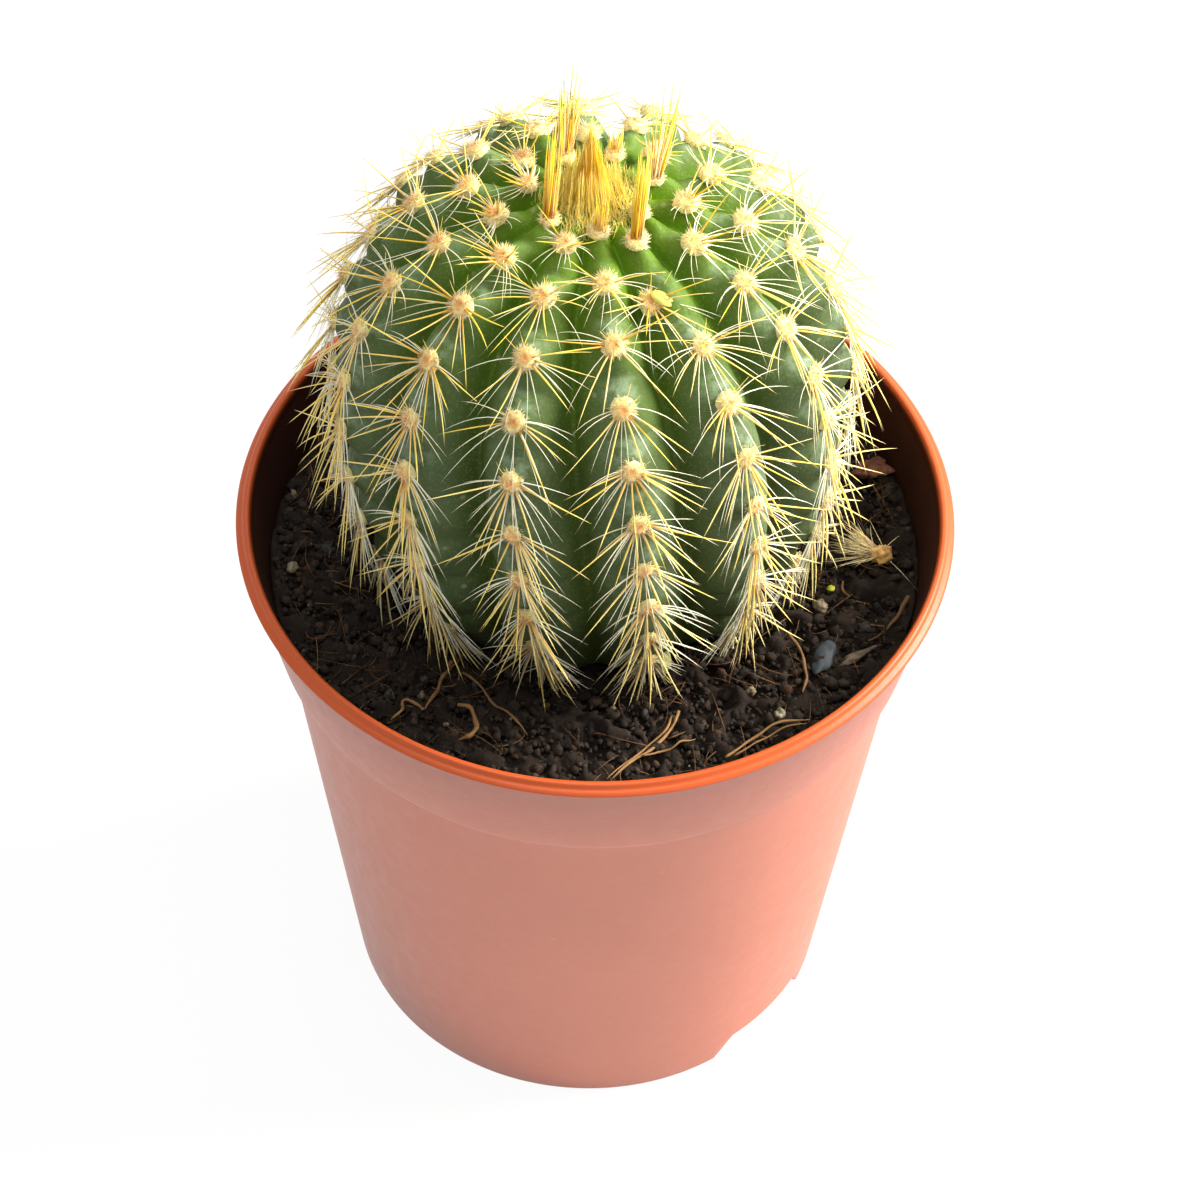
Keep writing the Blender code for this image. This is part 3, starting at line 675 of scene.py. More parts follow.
def rib_azimuth(rib, rise):
    """Azimuth of a rib number at a rise, in radians; the ribs crowd a little at the back."""
    crowding = CROWDING * np.sin(2 * np.pi * (rib + 1.0) / RIBS)
    return np.radians(FRONT_RIB_AZIMUTH + 360.0 / RIBS * rib + crowding + TWIST_PER_MM * rise)


def stem_surface(turn, rib, out=0.0):
    """Points of the ribbed skin: a whole rib number is a crest and a half one a furrow.

    The skin lies rib_depth times 1 - crest_share under the crest profile, and out further off it.
    """
    radius, rise, normal_r, normal_z = stem_profile(turn)
    rib = np.asarray(rib, float)
    off = out - rib_depth(radius, rise) * (1.0 - crest_share(rib))
    dimple = CROWN_DIMPLE * np.exp(-((radius / CROWN_DIMPLE_RADIUS) ** 2)) * (rise > 0)
    skin_radius = np.maximum(radius + normal_r * off, 0.0)
    skin_rise = rise + normal_z * off - dimple
    return leaning(*polar(skin_radius, rib_azimuth(rib, rise)), skin_rise)


FINE_TURNS = np.linspace(0.0, np.pi, 1200)
FINE_RADIUS, FINE_RISE, _, _ = stem_profile(FINE_TURNS)
FINE_LENGTHS = np.concatenate([[0.0], np.cumsum(np.hypot(np.diff(FINE_RADIUS), np.diff(FINE_RISE)))])
WHOLE_LENGTH = FINE_LENGTHS[-1]
SOIL_LENGTH = float(np.interp(WIDEST_HEIGHT - SOIL_LEVEL, -FINE_RISE, FINE_LENGTHS))


def turn_at(length):
    """The profile's turn at a distance along the crest from the crown."""
    return np.interp(length, FINE_LENGTHS, FINE_TURNS)


COLUMNS_PER_RIB = 28
# Relief of the skin: the swelling under an areole, the crease between two, and waves about 7 mm long.
SWELLING = 0.36
CREASE = 0.35
UNEVENNESS = 0.12


def make_stem(material):
    """The ribbed skin with a swelling under each areole and a crease across the rib between two."""
    length = np.concatenate([
        np.linspace(0.25, SOIL_LENGTH + 1.5, 178),
        np.linspace(SOIL_LENGTH + 2.5, WHOLE_LENGTH - 0.4, 14),
    ])[:, None]
    rib = (np.arange(RIBS * COLUMNS_PER_RIB) / COLUMNS_PER_RIB)[None, :]
    crest = crest_share(rib)
    starts = np.array(AREOLE_STARTS)[np.round(rib).astype(int) % RIBS]
    phase = 2 * np.pi * (length - starts) / AREOLE_SPACING
    grown = ramp(length, 2.0, 8.0) * ramp(length, SOIL_LENGTH, SOIL_LENGTH - 8.0)
    relief = SWELLING * np.cos(phase) * crest**2 - CREASE * np.clip(-np.cos(phase), 0, 1) ** 6 * crest
    relief = (relief + UNEVENNESS * waves(stem_surface(turn_at(length), rib), 7.0, 24, 3)) * grown
    rings = stem_surface(turn_at(length), rib, relief)
    crown = leaning(0.0, 0.0, CROWN_RISE - CROWN_DIMPLE)
    base = leaning(0.0, 0.0, -BASE_DROP)

    # The skin is youngest at the crown. The grey wax bloom lies on the crests, and a painted highlight makes
    # it thickest just under each areole.
    youth = ramp(length, 30.0, 0.0) ** 1.4
    # Painted highlight: the shoulder just under each areole, where light would glint on the wax, gets the
    # most bloom.
    shoulder = 0.5 - 0.5 * np.cos(phase - 1.4)
    bloom_and_highlight = crest**5 * (0.06 + 0.85 * shoulder**2)
    bloom_and_highlight = bloom_and_highlight * ramp(length, 5.0, 13.0) * ramp(length, SOIL_LENGTH - 6.0, SOIL_LENGTH - 30.0)
    fields = {
        name: np.append(np.broadcast_to(field, rings.shape[:2]), [0.0, 0.0])  # the two poles come last
        for name, field in (("crest", crest), ("youth", youth), ("bloom_and_highlight", bloom_and_highlight))
    }
    stem = add_mesh("cactus_skin", *capped_grid(rings, crown, base), material, **fields)
    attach(stem, "root")
    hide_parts("cactus_stem")


# Areoles, wool and spines ------------------------------------------------------------------------

def skin_frame(lengths, line):
    """Places on the skin and the directions down the rib, across it and outwards there."""
    place = stem_surface(turn_at(lengths), line)
    down = unit(stem_surface(turn_at(lengths + 0.2), line) - stem_surface(turn_at(lengths - 0.2), line))
    azimuth = rib_azimuth(line, stem_profile(turn_at(lengths))[1])
    side = np.stack([np.cos(azimuth), np.sin(azimuth), 0 * azimuth], -1)
    side = unit(side - down * np.sum(side * down, axis=-1, keepdims=True))
    return place, down, side, np.cross(down, side)


def areole_frames(rib):
    """Lengths from the crown, places and down, side and outward directions of a rib's areoles."""
    lengths = np.arange(AREOLE_STARTS[rib], SOIL_LENGTH + 3.0, AREOLE_SPACING)
    lengths = lengths[stem_surface(turn_at(lengths), rib)[:, 2] > LOWEST_AREOLE_HEIGHT]
    line = rib + PUSH * ((np.arange(len(lengths)) == PUSHED_AREOLE) & (rib == PUSHED_RIB))
    return lengths, *skin_frame(lengths, line)


def between(ends, share):
    """The value at a share of the way from the first end to the second."""
    first, last = ends
    return first + (last - first) * share


def towards_soil(lengths):
    """0 for areoles of the crown to 1 for those at the soil."""
    return ramp(lengths, 12.0, SOIL_LENGTH - 4.0)


def hairs(base, tip, bend, thickness, rows=5):
    """Three-sided tapering hairs, each carried along the parabola base + (tip - base) t + bend 4t(1 - t).

    The radius falls as (1 - t) to the power 0.6, to a point. Returns points, faces, each point's t and
    the number of points in a hair.
    """
    count = len(base)
    t = np.linspace(0, 1, rows + 1)[:-1]
    step = t[:, None]
    base, tip, bend = base[:, None], tip[:, None], bend[:, None]
    line = base * (1 - step) + tip * step + bend * (4 * step * (1 - step))
    heading = unit((tip - base) + bend * (4 - 8 * step))
    helper = np.where(np.abs(heading[..., 2:3]) < 0.9, (0.0, 0.0, 1.0), (1.0, 0.0, 0.0))
    across = unit(np.cross(heading, helper))
    other = np.cross(heading, across)
    radius = (thickness / 2)[:, None, None, None] * ((1 - t) ** 0.6)[:, None, None]
    spin = turns_round(3)[:, None]
    ring = across[:, :, None] * np.cos(spin) + other[:, :, None] * np.sin(spin)
    body = line[:, :, None] + ring * radius
    points = np.concatenate([body.reshape(count, -1, 3), tip], axis=1)
    size = rows * 3 + 1
    first = (np.arange(count) * size)[:, None, None]
    quads = (grid_faces(rows, 3)[:, ::-1] + first).reshape(-1, 4)
    fan = [(size - 4 + n, size - 4 + (n + 1) % 3, size - 1) for n in range(3)]
    ends = np.array([*fan, (2, 1, 0)])
    along = np.tile(np.append(np.repeat(t, 3), 1.0), count)
    return points.reshape(-1, 3), [quads, (ends + first).reshape(-1, 3)], along, size


def soil_height(place):
    """The soil's top at an x and y: level, with slow waves about 30 mm long."""
    x, y = np.moveaxis(np.asarray(place), -1, 0)[:2]
    return SOIL_LEVEL + SOIL_WAVE * np.sin(0.21 * x + 0.4) * np.cos(0.17 * y + 0.3)


def laid_on_soil(points, clearance=0.25):
    """Points that would sink into the soil are lifted on to it."""
    height = np.maximum(points[..., 2], soil_height(points) + clearance)
    return np.concatenate([points[..., :2], height[..., None]], -1)


# Kinds of spine. "kept", "spread" and "thick" go from the crown to the soil, and "tilt" and "length"
# give a range for each end; "middle" and "spread" are directions about straight down the rib.
SPINE_KINDS = (
    # White radials: a loose star below the crown, thick and combed downwards at the soil.
    {"count": 26, "kept": (0.36, 0.9), "middle": 0, "spread": (130, 60), "tilt": ((4, 22), (3, 24)),
     "length": ((3.8, 6.2), (4.2, 6.0)), "thick": (0.13, 0.19), "gold": (0.0, 0.3), "fall": (0.16, 0.5)},
    # Golden centrals, longer and standing out from the skin, the more so near the crown.
    {"count": 10, "kept": (0.62, 0.95), "middle": 0, "spread": (110, 32), "tilt": ((14, 38), (18, 40)),
     "length": ((6.0, 8.6), (5.6, 7.8)), "thick": (0.22, 0.26), "gold": (0.75, 1.0), "fall": (0.0, 0.12)},
    # Short fine ones that point back up the rib.
    {"count": 4, "kept": (1.0, 0.8), "middle": 180, "spread": (55, 55), "tilt": ((25, 60), (25, 60)),
     "length": ((1.4, 2.9), (1.4, 2.9)), "thick": (0.12, 0.12), "gold": (0.8, 1.0), "fall": (0.0, 0.0)},
)
# Ribs whose first areole holds its spines in an upright bundle: how many times the usual length it is,
# and how loose, from 0 for parallel spines.
BUNDLES = {
    0: (0.4, 0.1), 1: (1.2, 0.1), 2: (0.75, 0.1), 4: (1.1, 0.5),
    6: (0.3, 0.34), 8: (1.05, 0.3), 12: (1.2, 0.1),
}
BUNDLE_HEADING = (0.176, 0.836, 2.2)  # upwards and a little back


def rib_spines(rib, randoms):
    """Base, tip, bend, thickness, gold and age of every spine of one rib.

    A bundle leans back over the crown, and the spines of the ribs behind are shorter and lie closer
    to the skin.
    """
    lengths, place, down, side, outward = areole_frames(rib)
    azimuth = rib_azimuth(rib, 0.0)

    # 1 at the soil, in the last tassels above it, at the youngest areoles, and in a bundle.
    foot = towards_soil(lengths)[:, None]
    tassel = ramp(lengths, SOIL_LENGTH - 9.0, SOIL_LENGTH - 1.0)[:, None]
    young = ramp(lengths, 15.0, 9.0)[:, None]
    upright = (np.arange(len(lengths)) == 0)[:, None, None] * float(rib in BUNDLES)

    # How far the spines have grown, and how much lower they lie behind.
    bundle_length, loose = BUNDLES.get(rib, (1.0, 0.0))
    grown = np.maximum(ramp(lengths, 3.0, 12.0), 0.5)[:, None]
    grown = np.where(upright[..., 0] > 0, bundle_length, grown)
    upper_back = max(0.0, -math.cos(azimuth)) * ramp(lengths, 28.0, 22.0)[:, None]
    grown = grown * (1 - 0.45 * upper_back * (1 - upright[..., 0]))
    lowered = 1 - 0.5 * np.clip(0.3 - math.cos(azimuth), 0, 1)
    found = []
    for kind in SPINE_KINDS:
        shape = (len(lengths), kind["count"])
        tilt, length = (
            between([between(ends, foot) for ends in zip(*kind[trait])], randoms.uniform(0, 1, shape))
            for trait in ("tilt", "length")
        )
        spread = between(kind["spread"], foot) * (1 - 0.62 * tassel)
        around = kind["middle"] + spread * np.linspace(-1, 1, kind["count"]) + randoms.uniform(-9, 9, shape)
        around = np.radians(around)[..., None]
        # Young golden spines stand up, the more so at the sides.
        tilt = tilt + (14 + 20 * abs(math.sin(azimuth))) * (kind["gold"][0] > 0.6) * young
        tilt = (np.radians(tilt) * lowered * (1 - 0.4 * tassel))[..., None]
        length = (length * (grown * (1 - 0.15 * tassel)))[..., None]
        flat = down[:, None] * np.cos(around) + side[:, None] * np.sin(around)
        heading = flat * np.cos(tilt) + outward[:, None] * np.sin(tilt)
        heading = unit(heading * (1 - (1 - loose) * upright) + np.array(BUNDLE_HEADING) * upright)
        root = place[:, None] + outward[:, None] * 0.3 + flat * randoms.uniform(0.1, 0.6, (*shape, 1))
        fall = down[:, None] * randoms.uniform(*kind["fall"], (*shape, 1)) - outward[:, None] * 0.05
        fall = fall * length * (1 - upright)
        share = between(kind["kept"], foot) + 0.2 * young + 0.3 * upright[..., 0]
        kept = randoms.uniform(0, 1, shape) < share
        wander = randoms.normal(0, 0.09, (*shape, 3))
        thickness = between(kind["thick"], foot) * randoms.uniform(0.8, 1.15, shape)
        gold = np.clip(randoms.uniform(*kind["gold"], shape) + (0.75 - loose) * upright[..., 0], 0, 1)
        found.append((
            root[kept], (root + heading * length + fall)[kept], (wander - fall / 4)[kept],
            thickness[kept], gold[kept], (foot + np.zeros(shape))[kept],
        ))
    return [np.concatenate(values) for values in zip(*found)]


def make_spines(material):
    """One piece for each rib's spines."""
    randoms = np.random.default_rng(11)
    for rib in range(RIBS):
        base, tip, bend, thickness, gold, old = rib_spines(rib, randoms)
        points, faces, along, each = hairs(base, tip, bend, thickness, 6)
        aged = old**2 * (0.7 - 0.5 * gold)
        row = add_mesh(
            f"spines_rib_{rib + 1:02d}", laid_on_soil(points), faces, material,
            along=along, gold=np.repeat(gold * (1 - 0.15 * old), each), age=np.repeat(aged, each),
        )
        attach(row, "root")
        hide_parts(f"spine_row_{rib + 1:02d}")


PAD_RINGS, PAD_COLUMNS = 6, 14
HAIRS_PER_PAD = 280
HAIR_THICKNESS = 0.075


def felt_pads(randoms, place, down, side, out, size):
    """Low domes, each hollowed at its middle, with their share of peach from the middle outwards.

    Off a pad's middle by a share s of its width, its top is as high as the square root of
    1 - s to the power 2.6.
    """
    share = np.linspace(0.12, 1.0, PAD_RINGS)[:, None]
    turn = turns_round(PAD_COLUMNS)[None, :]
    lift = 0.72 * np.sqrt(np.clip(1 - share**2.6, 0, 1)) - 0.08 * np.exp(-((share / 0.3) ** 2)) - 0.2
    flat_down, flat_side = (share * 1.05 * np.cos(turn)).ravel(), (share * np.sin(turn)).ravel()
    lift = (lift + 0 * turn).ravel()
    lump = randoms.uniform(0.88, 1.12, (len(place), len(lift), 1))
    dome = (down * flat_down[:, None] + side * flat_side[:, None]) * lump * 0.92 + out * lift[:, None]
    dome = np.concatenate([dome, out * 0.44, out * -0.4], axis=1) * size + place
    _, faces = capped_grid(np.zeros((PAD_RINGS, PAD_COLUMNS, 3)), (0, 0, 0), (0, 0, 0))
    first = (np.arange(len(place)) * dome.shape[1])[:, None, None]
    faces = [(group + first).reshape(-1, group.shape[1]) for group in faces]
    middle = np.append(np.clip(1.1 - 1.6 * share + 0 * turn, 0, 1), [1.0, 0.0])
    return dome.reshape(-1, 3), faces, middle


def make_wool(material):
    """A domed felt pad on each areole, covered by short hair that radiates from its middle."""
    randoms = np.random.default_rng(5)
    frames = [areole_frames(rib) for rib in range(RIBS)]
    lengths, *vectors = (np.concatenate(values) for values in zip(*frames))
    place, down, side, out = (values[:, None] for values in vectors)
    place = place + 0.2 * out
    foot = towards_soil(lengths)
    # Pads are largest some way down from the crown.
    size = (1.18 - 0.32 * foot - 0.25 * ramp(lengths, 7.0, 5.5))[:, None, None]
    *pads, middle = felt_pads(randoms, place, down, side, out, size)

    count = len(lengths)
    spin = randoms.uniform(0, 2 * np.pi, (count, HAIRS_PER_PAD, 1))
    ring = np.sqrt(randoms.uniform(0.02, 1.0, spin.shape))
    flat = down * np.cos(spin) + side * np.sin(spin)
    root = place + (flat * ring * 0.85 + out * (0.6 * np.sqrt(1 - 0.95 * ring**2) - 0.16)) * size
    heading = flat * (0.35 + 0.9 * ring) + out * (1.05 - 0.75 * ring)
    heading = unit(heading + randoms.normal(0, 0.2, flat.shape))
    tip = root + heading * randoms.uniform(0.22, 0.6, spin.shape) * size
    root, tip = root.reshape(-1, 3), tip.reshape(-1, 3)
    *wool, _, each = hairs(root, tip, 0 * root, np.full(len(root), HAIR_THICKNESS), 1)

    # Peach: most of it on the hair at a pad's middle, and a little on some hair all over it.
    inner = np.clip(1.15 - 1.35 * ring, 0, 1) * randoms.uniform(0.1, 1.1, ring.shape)
    inner = inner + 0.55 * (randoms.uniform(0, 1, ring.shape) < 0.22)
    old = 0.6 * foot**2
    wool = add_mesh(
        "areole_wool", *gathered([pads, wool]), material,
        middle=np.append(np.tile(middle, count), np.repeat(np.clip(inner, 0, 1), each)),
        age=np.append(np.repeat(old, len(middle)), np.repeat(old, HAIRS_PER_PAD * each)),
    )
    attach(wool, "root")


# The tuft in the crown: a brush, round it a skirt of shorter and paler bristles, and within it a core.
BRUSH, SKIRT = 760, 300
BRUSH_RADIUS = 2.0
CORE_RADIUS = 1.75
TUFT_LEAN = (-0.2, 0.3)  # how far the tuft leans, to the left and backwards
CROWN_WOOL = 3200


def flame_core():
    """The core: a fluted cone whose radius falls as (1 - t) to the power 0.9, and each point's t."""
    columns = 72
    t = np.linspace(0, 0.97, 14)[::-1, None]
    turn = turns_round(columns)[None, :]
    radius = CORE_RADIUS * (1 - t) ** 0.9 * (1 + 0.07 * np.cos(17 * turn) + 0.05 * np.cos(29 * turn))
    x, y = polar(radius, turn)
    foot = CROWN_RISE - 1.4
    rings = leaning(x + TUFT_LEAN[0] * t, y + TUFT_LEAN[1] * t, foot + 8.2 * t + 0 * turn)
    core = capped_grid(rings, leaning(*TUFT_LEAN, foot + 8.3), leaning(0.0, 0.0, foot))
    return core, np.append(np.repeat(t, columns), [1.0, 0.0])


def make_crown_wool(randoms, horn):
    """Short pale hair round the foot of the tuft, standing up and leaning inwards a little."""
    spin = randoms.uniform(0, 2 * np.pi, CROWN_WOOL)
    reach = randoms.uniform(0.4, 1, CROWN_WOOL) * 4.8
    flat = np.stack(polar(reach, spin), -1)
    root = leaning(*flat.T, CROWN_RISE - 1.1 - 0.03 * reach**2)
    upright = np.column_stack([flat * -0.05, np.ones(CROWN_WOOL)])
    tip = root + (upright + randoms.normal(0, 0.3, root.shape)) * randoms.uniform(0.5, 1.7, (CROWN_WOOL, 1))
    bend = randoms.normal(0, 0.15, root.shape)
    points, faces, along, _ = hairs(root, tip, bend, np.full(CROWN_WOOL, 0.08), 3)
    wool = add_mesh("crown_wool", points, faces, horn, along=along, pale=0 * along + 1)
    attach(wool, "root")


def make_crown(horn):
    """The upright tuft of young spines in the crown's dimple, and the wool about its foot.

    The tuft is a flame: the bristles close in just above their roots and then run up side by side.
    """
    randoms = np.random.default_rng(21)
    count = BRUSH + SKIRT
    spin = randoms.uniform(0, 2 * np.pi, count)
    reach = np.append(np.sqrt(randoms.uniform(0, 1, BRUSH)) * BRUSH_RADIUS, randoms.uniform(1.5, 3.8, SKIRT))
    flat = np.stack(polar(reach, spin), -1)
    length = np.append(randoms.uniform(6.4, 10.4, BRUSH), randoms.uniform(2.2, 5.4, SKIRT))
    length[:BRUSH] *= 1 - 0.5 * reach[:BRUSH] / BRUSH_RADIUS
    inwards = np.append(randoms.uniform(0.15, 0.5, BRUSH), randoms.uniform(0.45, 0.8, SKIRT))
    meet = flat * inwards[:, None] + randoms.normal(0, 0.16, (count, 2)) + TUFT_LEAN
    foot = CROWN_RISE - 1.2 - 0.03 * reach**2
    root = leaning(*flat.T, foot)
    tip = leaning(*meet.T, foot + length)
    closing = np.append(randoms.uniform(-0.16, -0.06, BRUSH), randoms.uniform(-0.12, 0.0, SKIRT))
    bend = np.column_stack([flat * closing[:, None], np.zeros(count)])
    *bristles, along, each = hairs(root, tip, bend, randoms.uniform(0.09, 0.15, count), 5)
    pale = np.append(randoms.uniform(0, 1, BRUSH) ** 3 * 0.6, randoms.uniform(0.5, 1.0, SKIRT))
    core, core_along = flame_core()
    tuft = add_mesh(
        "crown_tuft", *gathered([bristles, core]), horn,
        along=np.append(along, core_along), pale=np.append(np.repeat(pale, each), 0 * core_along),
    )
    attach(tuft, "root")
    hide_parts("crown_bristles")
    make_crown_wool(randoms, horn)


def make_buds(material):
    """Two young offsets: one by the pushed areole and one at the foot of the front rib."""
    shapes = []
    for number, (rib, length, turn, half_sizes) in enumerate((
        (0.84, 12.2, 40.0, (1.05, 0.6, 0.5)),
        (0.2, SOIL_LENGTH - 1.6, 0.0, (1.2, 1.0, 1.3)),
    )):
        place, down, side, outward = skin_frame(length, rib)
        turn = math.radians(turn)
        axes = np.array([
            (down * math.cos(turn) + side * math.sin(turn)) * half_sizes[0],
            (side * math.cos(turn) - down * math.sin(turn)) * half_sizes[1],
            outward * half_sizes[2],
        ])
        shapes.append(blob(place + outward * 0.15, axes, 0.06, 80 + number, 12, 18))
    buds = add_mesh("offset_buds", *gathered(shapes), material)
    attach(buds, "root")


# Soil and litter ---------------------------------------------------------------------------------

SOIL_COLUMNS = 420
SOIL_RIBS = np.arange(SOIL_COLUMNS) * RIBS / SOIL_COLUMNS
# Colours of peat crumbs and how common each is.
CRUMB_COLOURS = {
    "241E19": 0.40, "2F2720": 0.30, "3A3027": 0.15, "43352A": 0.08, "4B3226": 0.03, "424341": 0.03,
    "7A6C54": 0.01,
}


def soil_outline(out):
    """Where the stem, grown by out, comes down to the soil, as x, y round it."""
    turns = np.linspace(np.pi / 2, np.pi, 400)
    skin = stem_surface(turns[:, None], SOIL_RIBS[None, :], out)
    above = skin[..., 2] > soil_height(skin)
    return skin[above.sum(axis=0) - 1, np.arange(SOIL_COLUMNS), :2]


def make_soil(material):
    """The fill: its crumbly top between stem and wall, its side along the pot, and a hollow for the root."""
    inner = soil_outline(0.2)
    around = unit(inner)
    share = np.linspace(0, 1, 44)[:, None, None]
    outer = around * (pot_inner_radius(SOIL_LEVEL) - 0.1)
    flat = inner * (1 - share) + outer * share
    top = np.concatenate([flat, soil_height(flat)[..., None]], -1)
    crumbly = 0.45 * waves(top, 2.6, 40, 8) + 0.22 * waves(top, 1.1, 40, 9)
    top[..., 2] += crumbly * np.sin(np.pi * np.clip(share[..., 0], 0.02, 0.98)) ** 0.3
    levels = (
        (pot_inner_radius(COLLAR_FOOT_HEIGHT) - 0.35, COLLAR_FOOT_HEIGHT),
        (pot_inner_radius(WALL_TOP_HEIGHT) - 0.35, WALL_TOP_HEIGHT),
        (pot_inner_radius(FLOOR_TOP) - 0.5, FLOOR_TOP + 0.3),
    )
    side = [np.column_stack([around * radius, np.full(SOIL_COLUMNS, level)]) for radius, level in levels]
    hollow = [stem_surface(turn_at(length), SOIL_RIBS, 0.2) for length in (WHOLE_LENGTH - 2, SOIL_LENGTH + 5)]
    rings = np.array([*hollow, *top, *side])
    points, faces = capped_grid(rings, leaning(0.0, 0.0, -BASE_DROP - 0.2), (0.0, 0.0, FLOOR_TOP + 0.3))
    colour = np.tile(linear("251D17"), (len(points), 1))
    soil = add_mesh("peat_fill", points, faces, material, crumb_colour=colour)
    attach(soil, "root")
    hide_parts("potting_soil")


def icosahedron():
    """Twelve points and twenty faces, its edges about equal."""
    golden = (1 + math.sqrt(5)) / 2
    points = [p for a in (-1, 1) for b in (-golden, golden) for p in ((0, a, b), (a, b, 0), (b, 0, a))]
    points = unit(np.array(points))
    triples = np.array(list(itertools.combinations(range(12), 3)))
    corners = points[triples]
    sides = np.linalg.norm(corners - np.roll(corners, 1, axis=1), axis=-1)
    beside = sides.max(axis=1) < 1.1
    faces, inwards = triples[beside], np.linalg.det(corners[beside]) < 0
    faces[inwards] = faces[inwards][:, [0, 2, 1]]
    return points, faces


def scatter_on_soil(randoms, count, clear=0.6):
    """Random places on the ring of soil between the stem and the pot's wall."""
    inner = soil_outline(clear)[randoms.integers(0, SOIL_COLUMNS, count)]
    reach = pot_inner_radius(SOIL_LEVEL) - clear
    near = np.linalg.norm(inner, axis=1)
    radius = np.sqrt(near**2 + (reach**2 - near**2) * randoms.uniform(0, 1, count))
    return unit(inner) * radius[:, None]


def make_crumbs(material):
    """Crumbs of peat: dented icosahedra, most of them fine, strewn over the soil."""
    randoms = np.random.default_rng(31)
    count = 9000
    shape, triangles = icosahedron()
    flat = scatter_on_soil(randoms, count)
    size = np.clip(randoms.lognormal(-1.38, 0.52, count), 0.12, 0.66)
    dents = randoms.uniform(0.62, 1.25, (count, 12, 1))
    squash = randoms.uniform(0.55, 1.2, (count, 1, 3))
    spin = np.linalg.qr(randoms.normal(size=(count, 3, 3)))[0]
    spin[np.linalg.det(spin) < 0, :, 0] *= -1
    crumbs = np.einsum("nij,nkj->nki", spin, shape * dents * squash) * size[:, None, None]
    lying = randoms.uniform(0.1, 0.7, count)  # some lie on others
    centre = np.column_stack([flat, soil_height(flat) + 0.3 * size + 0.5 * lying - 0.1])
    points = (crumbs + centre[:, None]).reshape(-1, 3)
    faces = (triangles + (np.arange(count) * 12)[:, None, None]).reshape(-1, 3)
    palette = np.array([linear(colour) for colour in CRUMB_COLOURS])
    colour = palette[randoms.choice(len(palette), count, p=list(CRUMB_COLOURS.values()))]
    made = add_mesh(
        "peat_crumbs", points, [faces], material, smooth=False, crumb_colour=np.repeat(colour, 12, axis=0)
    )
    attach(made, "root")


def make_rootlets(material):
    """Short broken rootlets lying among the crumbs."""
    randoms = np.random.default_rng(37)
    count = 480
    flat = scatter_on_soil(randoms, count, 1.5)
    base = np.column_stack([flat, soil_height(flat) + randoms.uniform(0.2, 0.9, count)])
    turn = randoms.uniform(0, 2 * np.pi, count)
    heading = np.stack([np.cos(turn), np.sin(turn), randoms.normal(0, 0.12, count)], -1)
    tip = base + heading * randoms.uniform(1.5, 6.0, (count, 1)) ** 0.9
    reach = np.linalg.norm(tip[:, :2], axis=1)
    limit = pot_inner_radius(SOIL_LEVEL) - 0.5
    tip[:, :2] *= np.minimum(1, limit / reach)[:, None]
    bend = randoms.normal(0, 0.45, (count, 3)) * (1, 1, 0.3)
    points, faces, _, each = hairs(base, tip, bend, randoms.uniform(0.06, 0.16, count), 5)
    pale = np.repeat(randoms.uniform(0, 0.7, count) ** 2, each)
    made = add_mesh("peat_rootlets", laid_on_soil(points, 0.1), faces, material, pale=pale)
    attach(made, "root")


# Routes of the larger fibres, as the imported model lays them: thickness, paleness and x, y.
ROOT_FIBRES = (
    (0.34, 0.6, ((-12.4, -13.4), (-12.7, -14.6), (-13.2, -15.8), (-13.8, -17.4), (-14.5, -19.2))),
    (0.3, 0.9, ((-14.6, -18.9), (-15.4, -18.5), (-16.5, -18.0), (-16.6, -19.3), (-17.5, -20.2))),
    (0.42, 0.7, ((-11.6, -18.5), (-10.5, -19.1), (-10.0, -20.5), (-10.2, -21.9), (-11.5, -22.4))),
    (0.22, 0.5, ((-11.4, -14.9), (-9.6, -16.6), (-8.3, -18.6), (-6.6, -20.0), (-5.5, -21.6))),
    (0.26, 0.7, ((11.8, -23.6), (14.1, -21.5), (15.8, -20.1), (19.3, -19.2))),
    (0.3, 0.4, ((17.4, -9.3), (18.3, -10.5), (18.8, -12.8), (19.0, -14.2), (18.7, -16.3))),
    (0.42, 0.2, ((28.3, -4.6), (27.4, -6.6), (26.3, -8.7))),
)
STRAWS = (
    (0.28, 0.8, ((7.7, -18.4), (6.9, -20.6), (4.4, -23.4), (2.0, -26.0))),
    (0.2, 0.7, ((4.6, -23.4), (6.5, -22.6), (7.8, -21.9), (9.2, -21.2))),
)
# Thin strands that run beside those: a split straw, a loop of root and a rusty shred.
STRANDS = (
    (0.2, 0.8, ((7.2, -18.7), (6.3, -20.9), (4.0, -23.2), (1.6, -26.2))),
    (0.18, 0.6, ((12.6, -23.4), (14.5, -21.9), (16.2, -20.7), (19.0, -19.7))),
    (0.18, 0.4, ((-11.8, -14.6), (-11.7, -15.8), (-13.0, -16.7))),
    (0.24, 0.1, ((22.4, -2.8), (22.5, -3.9), (23.0, -4.9))),
    (0.2, 0.5, ((-11.4, -12.6), (-11.9, -13.6), (-12.4, -14.6))),
)


def smooth_route(corners, steps=9):
    """Points on a Catmull-Rom curve through the corners."""
    corners = np.asarray(corners, float)
    padded = np.vstack([2 * corners[0] - corners[1], corners, 2 * corners[-1] - corners[-2]])
    a, b, c, d = (padded[i:len(padded) - 3 + i, None] for i in range(4))
    t = np.linspace(0, 1, steps, endpoint=False)[None, :, None]
    curve = 2 * b + (c - a) * t + (2 * a - 5 * b + 4 * c - d) * t**2 + (3 * b - a - 3 * c + d) * t**3
    return np.vstack([(curve / 2).reshape(-1, 2), corners[-1:]])


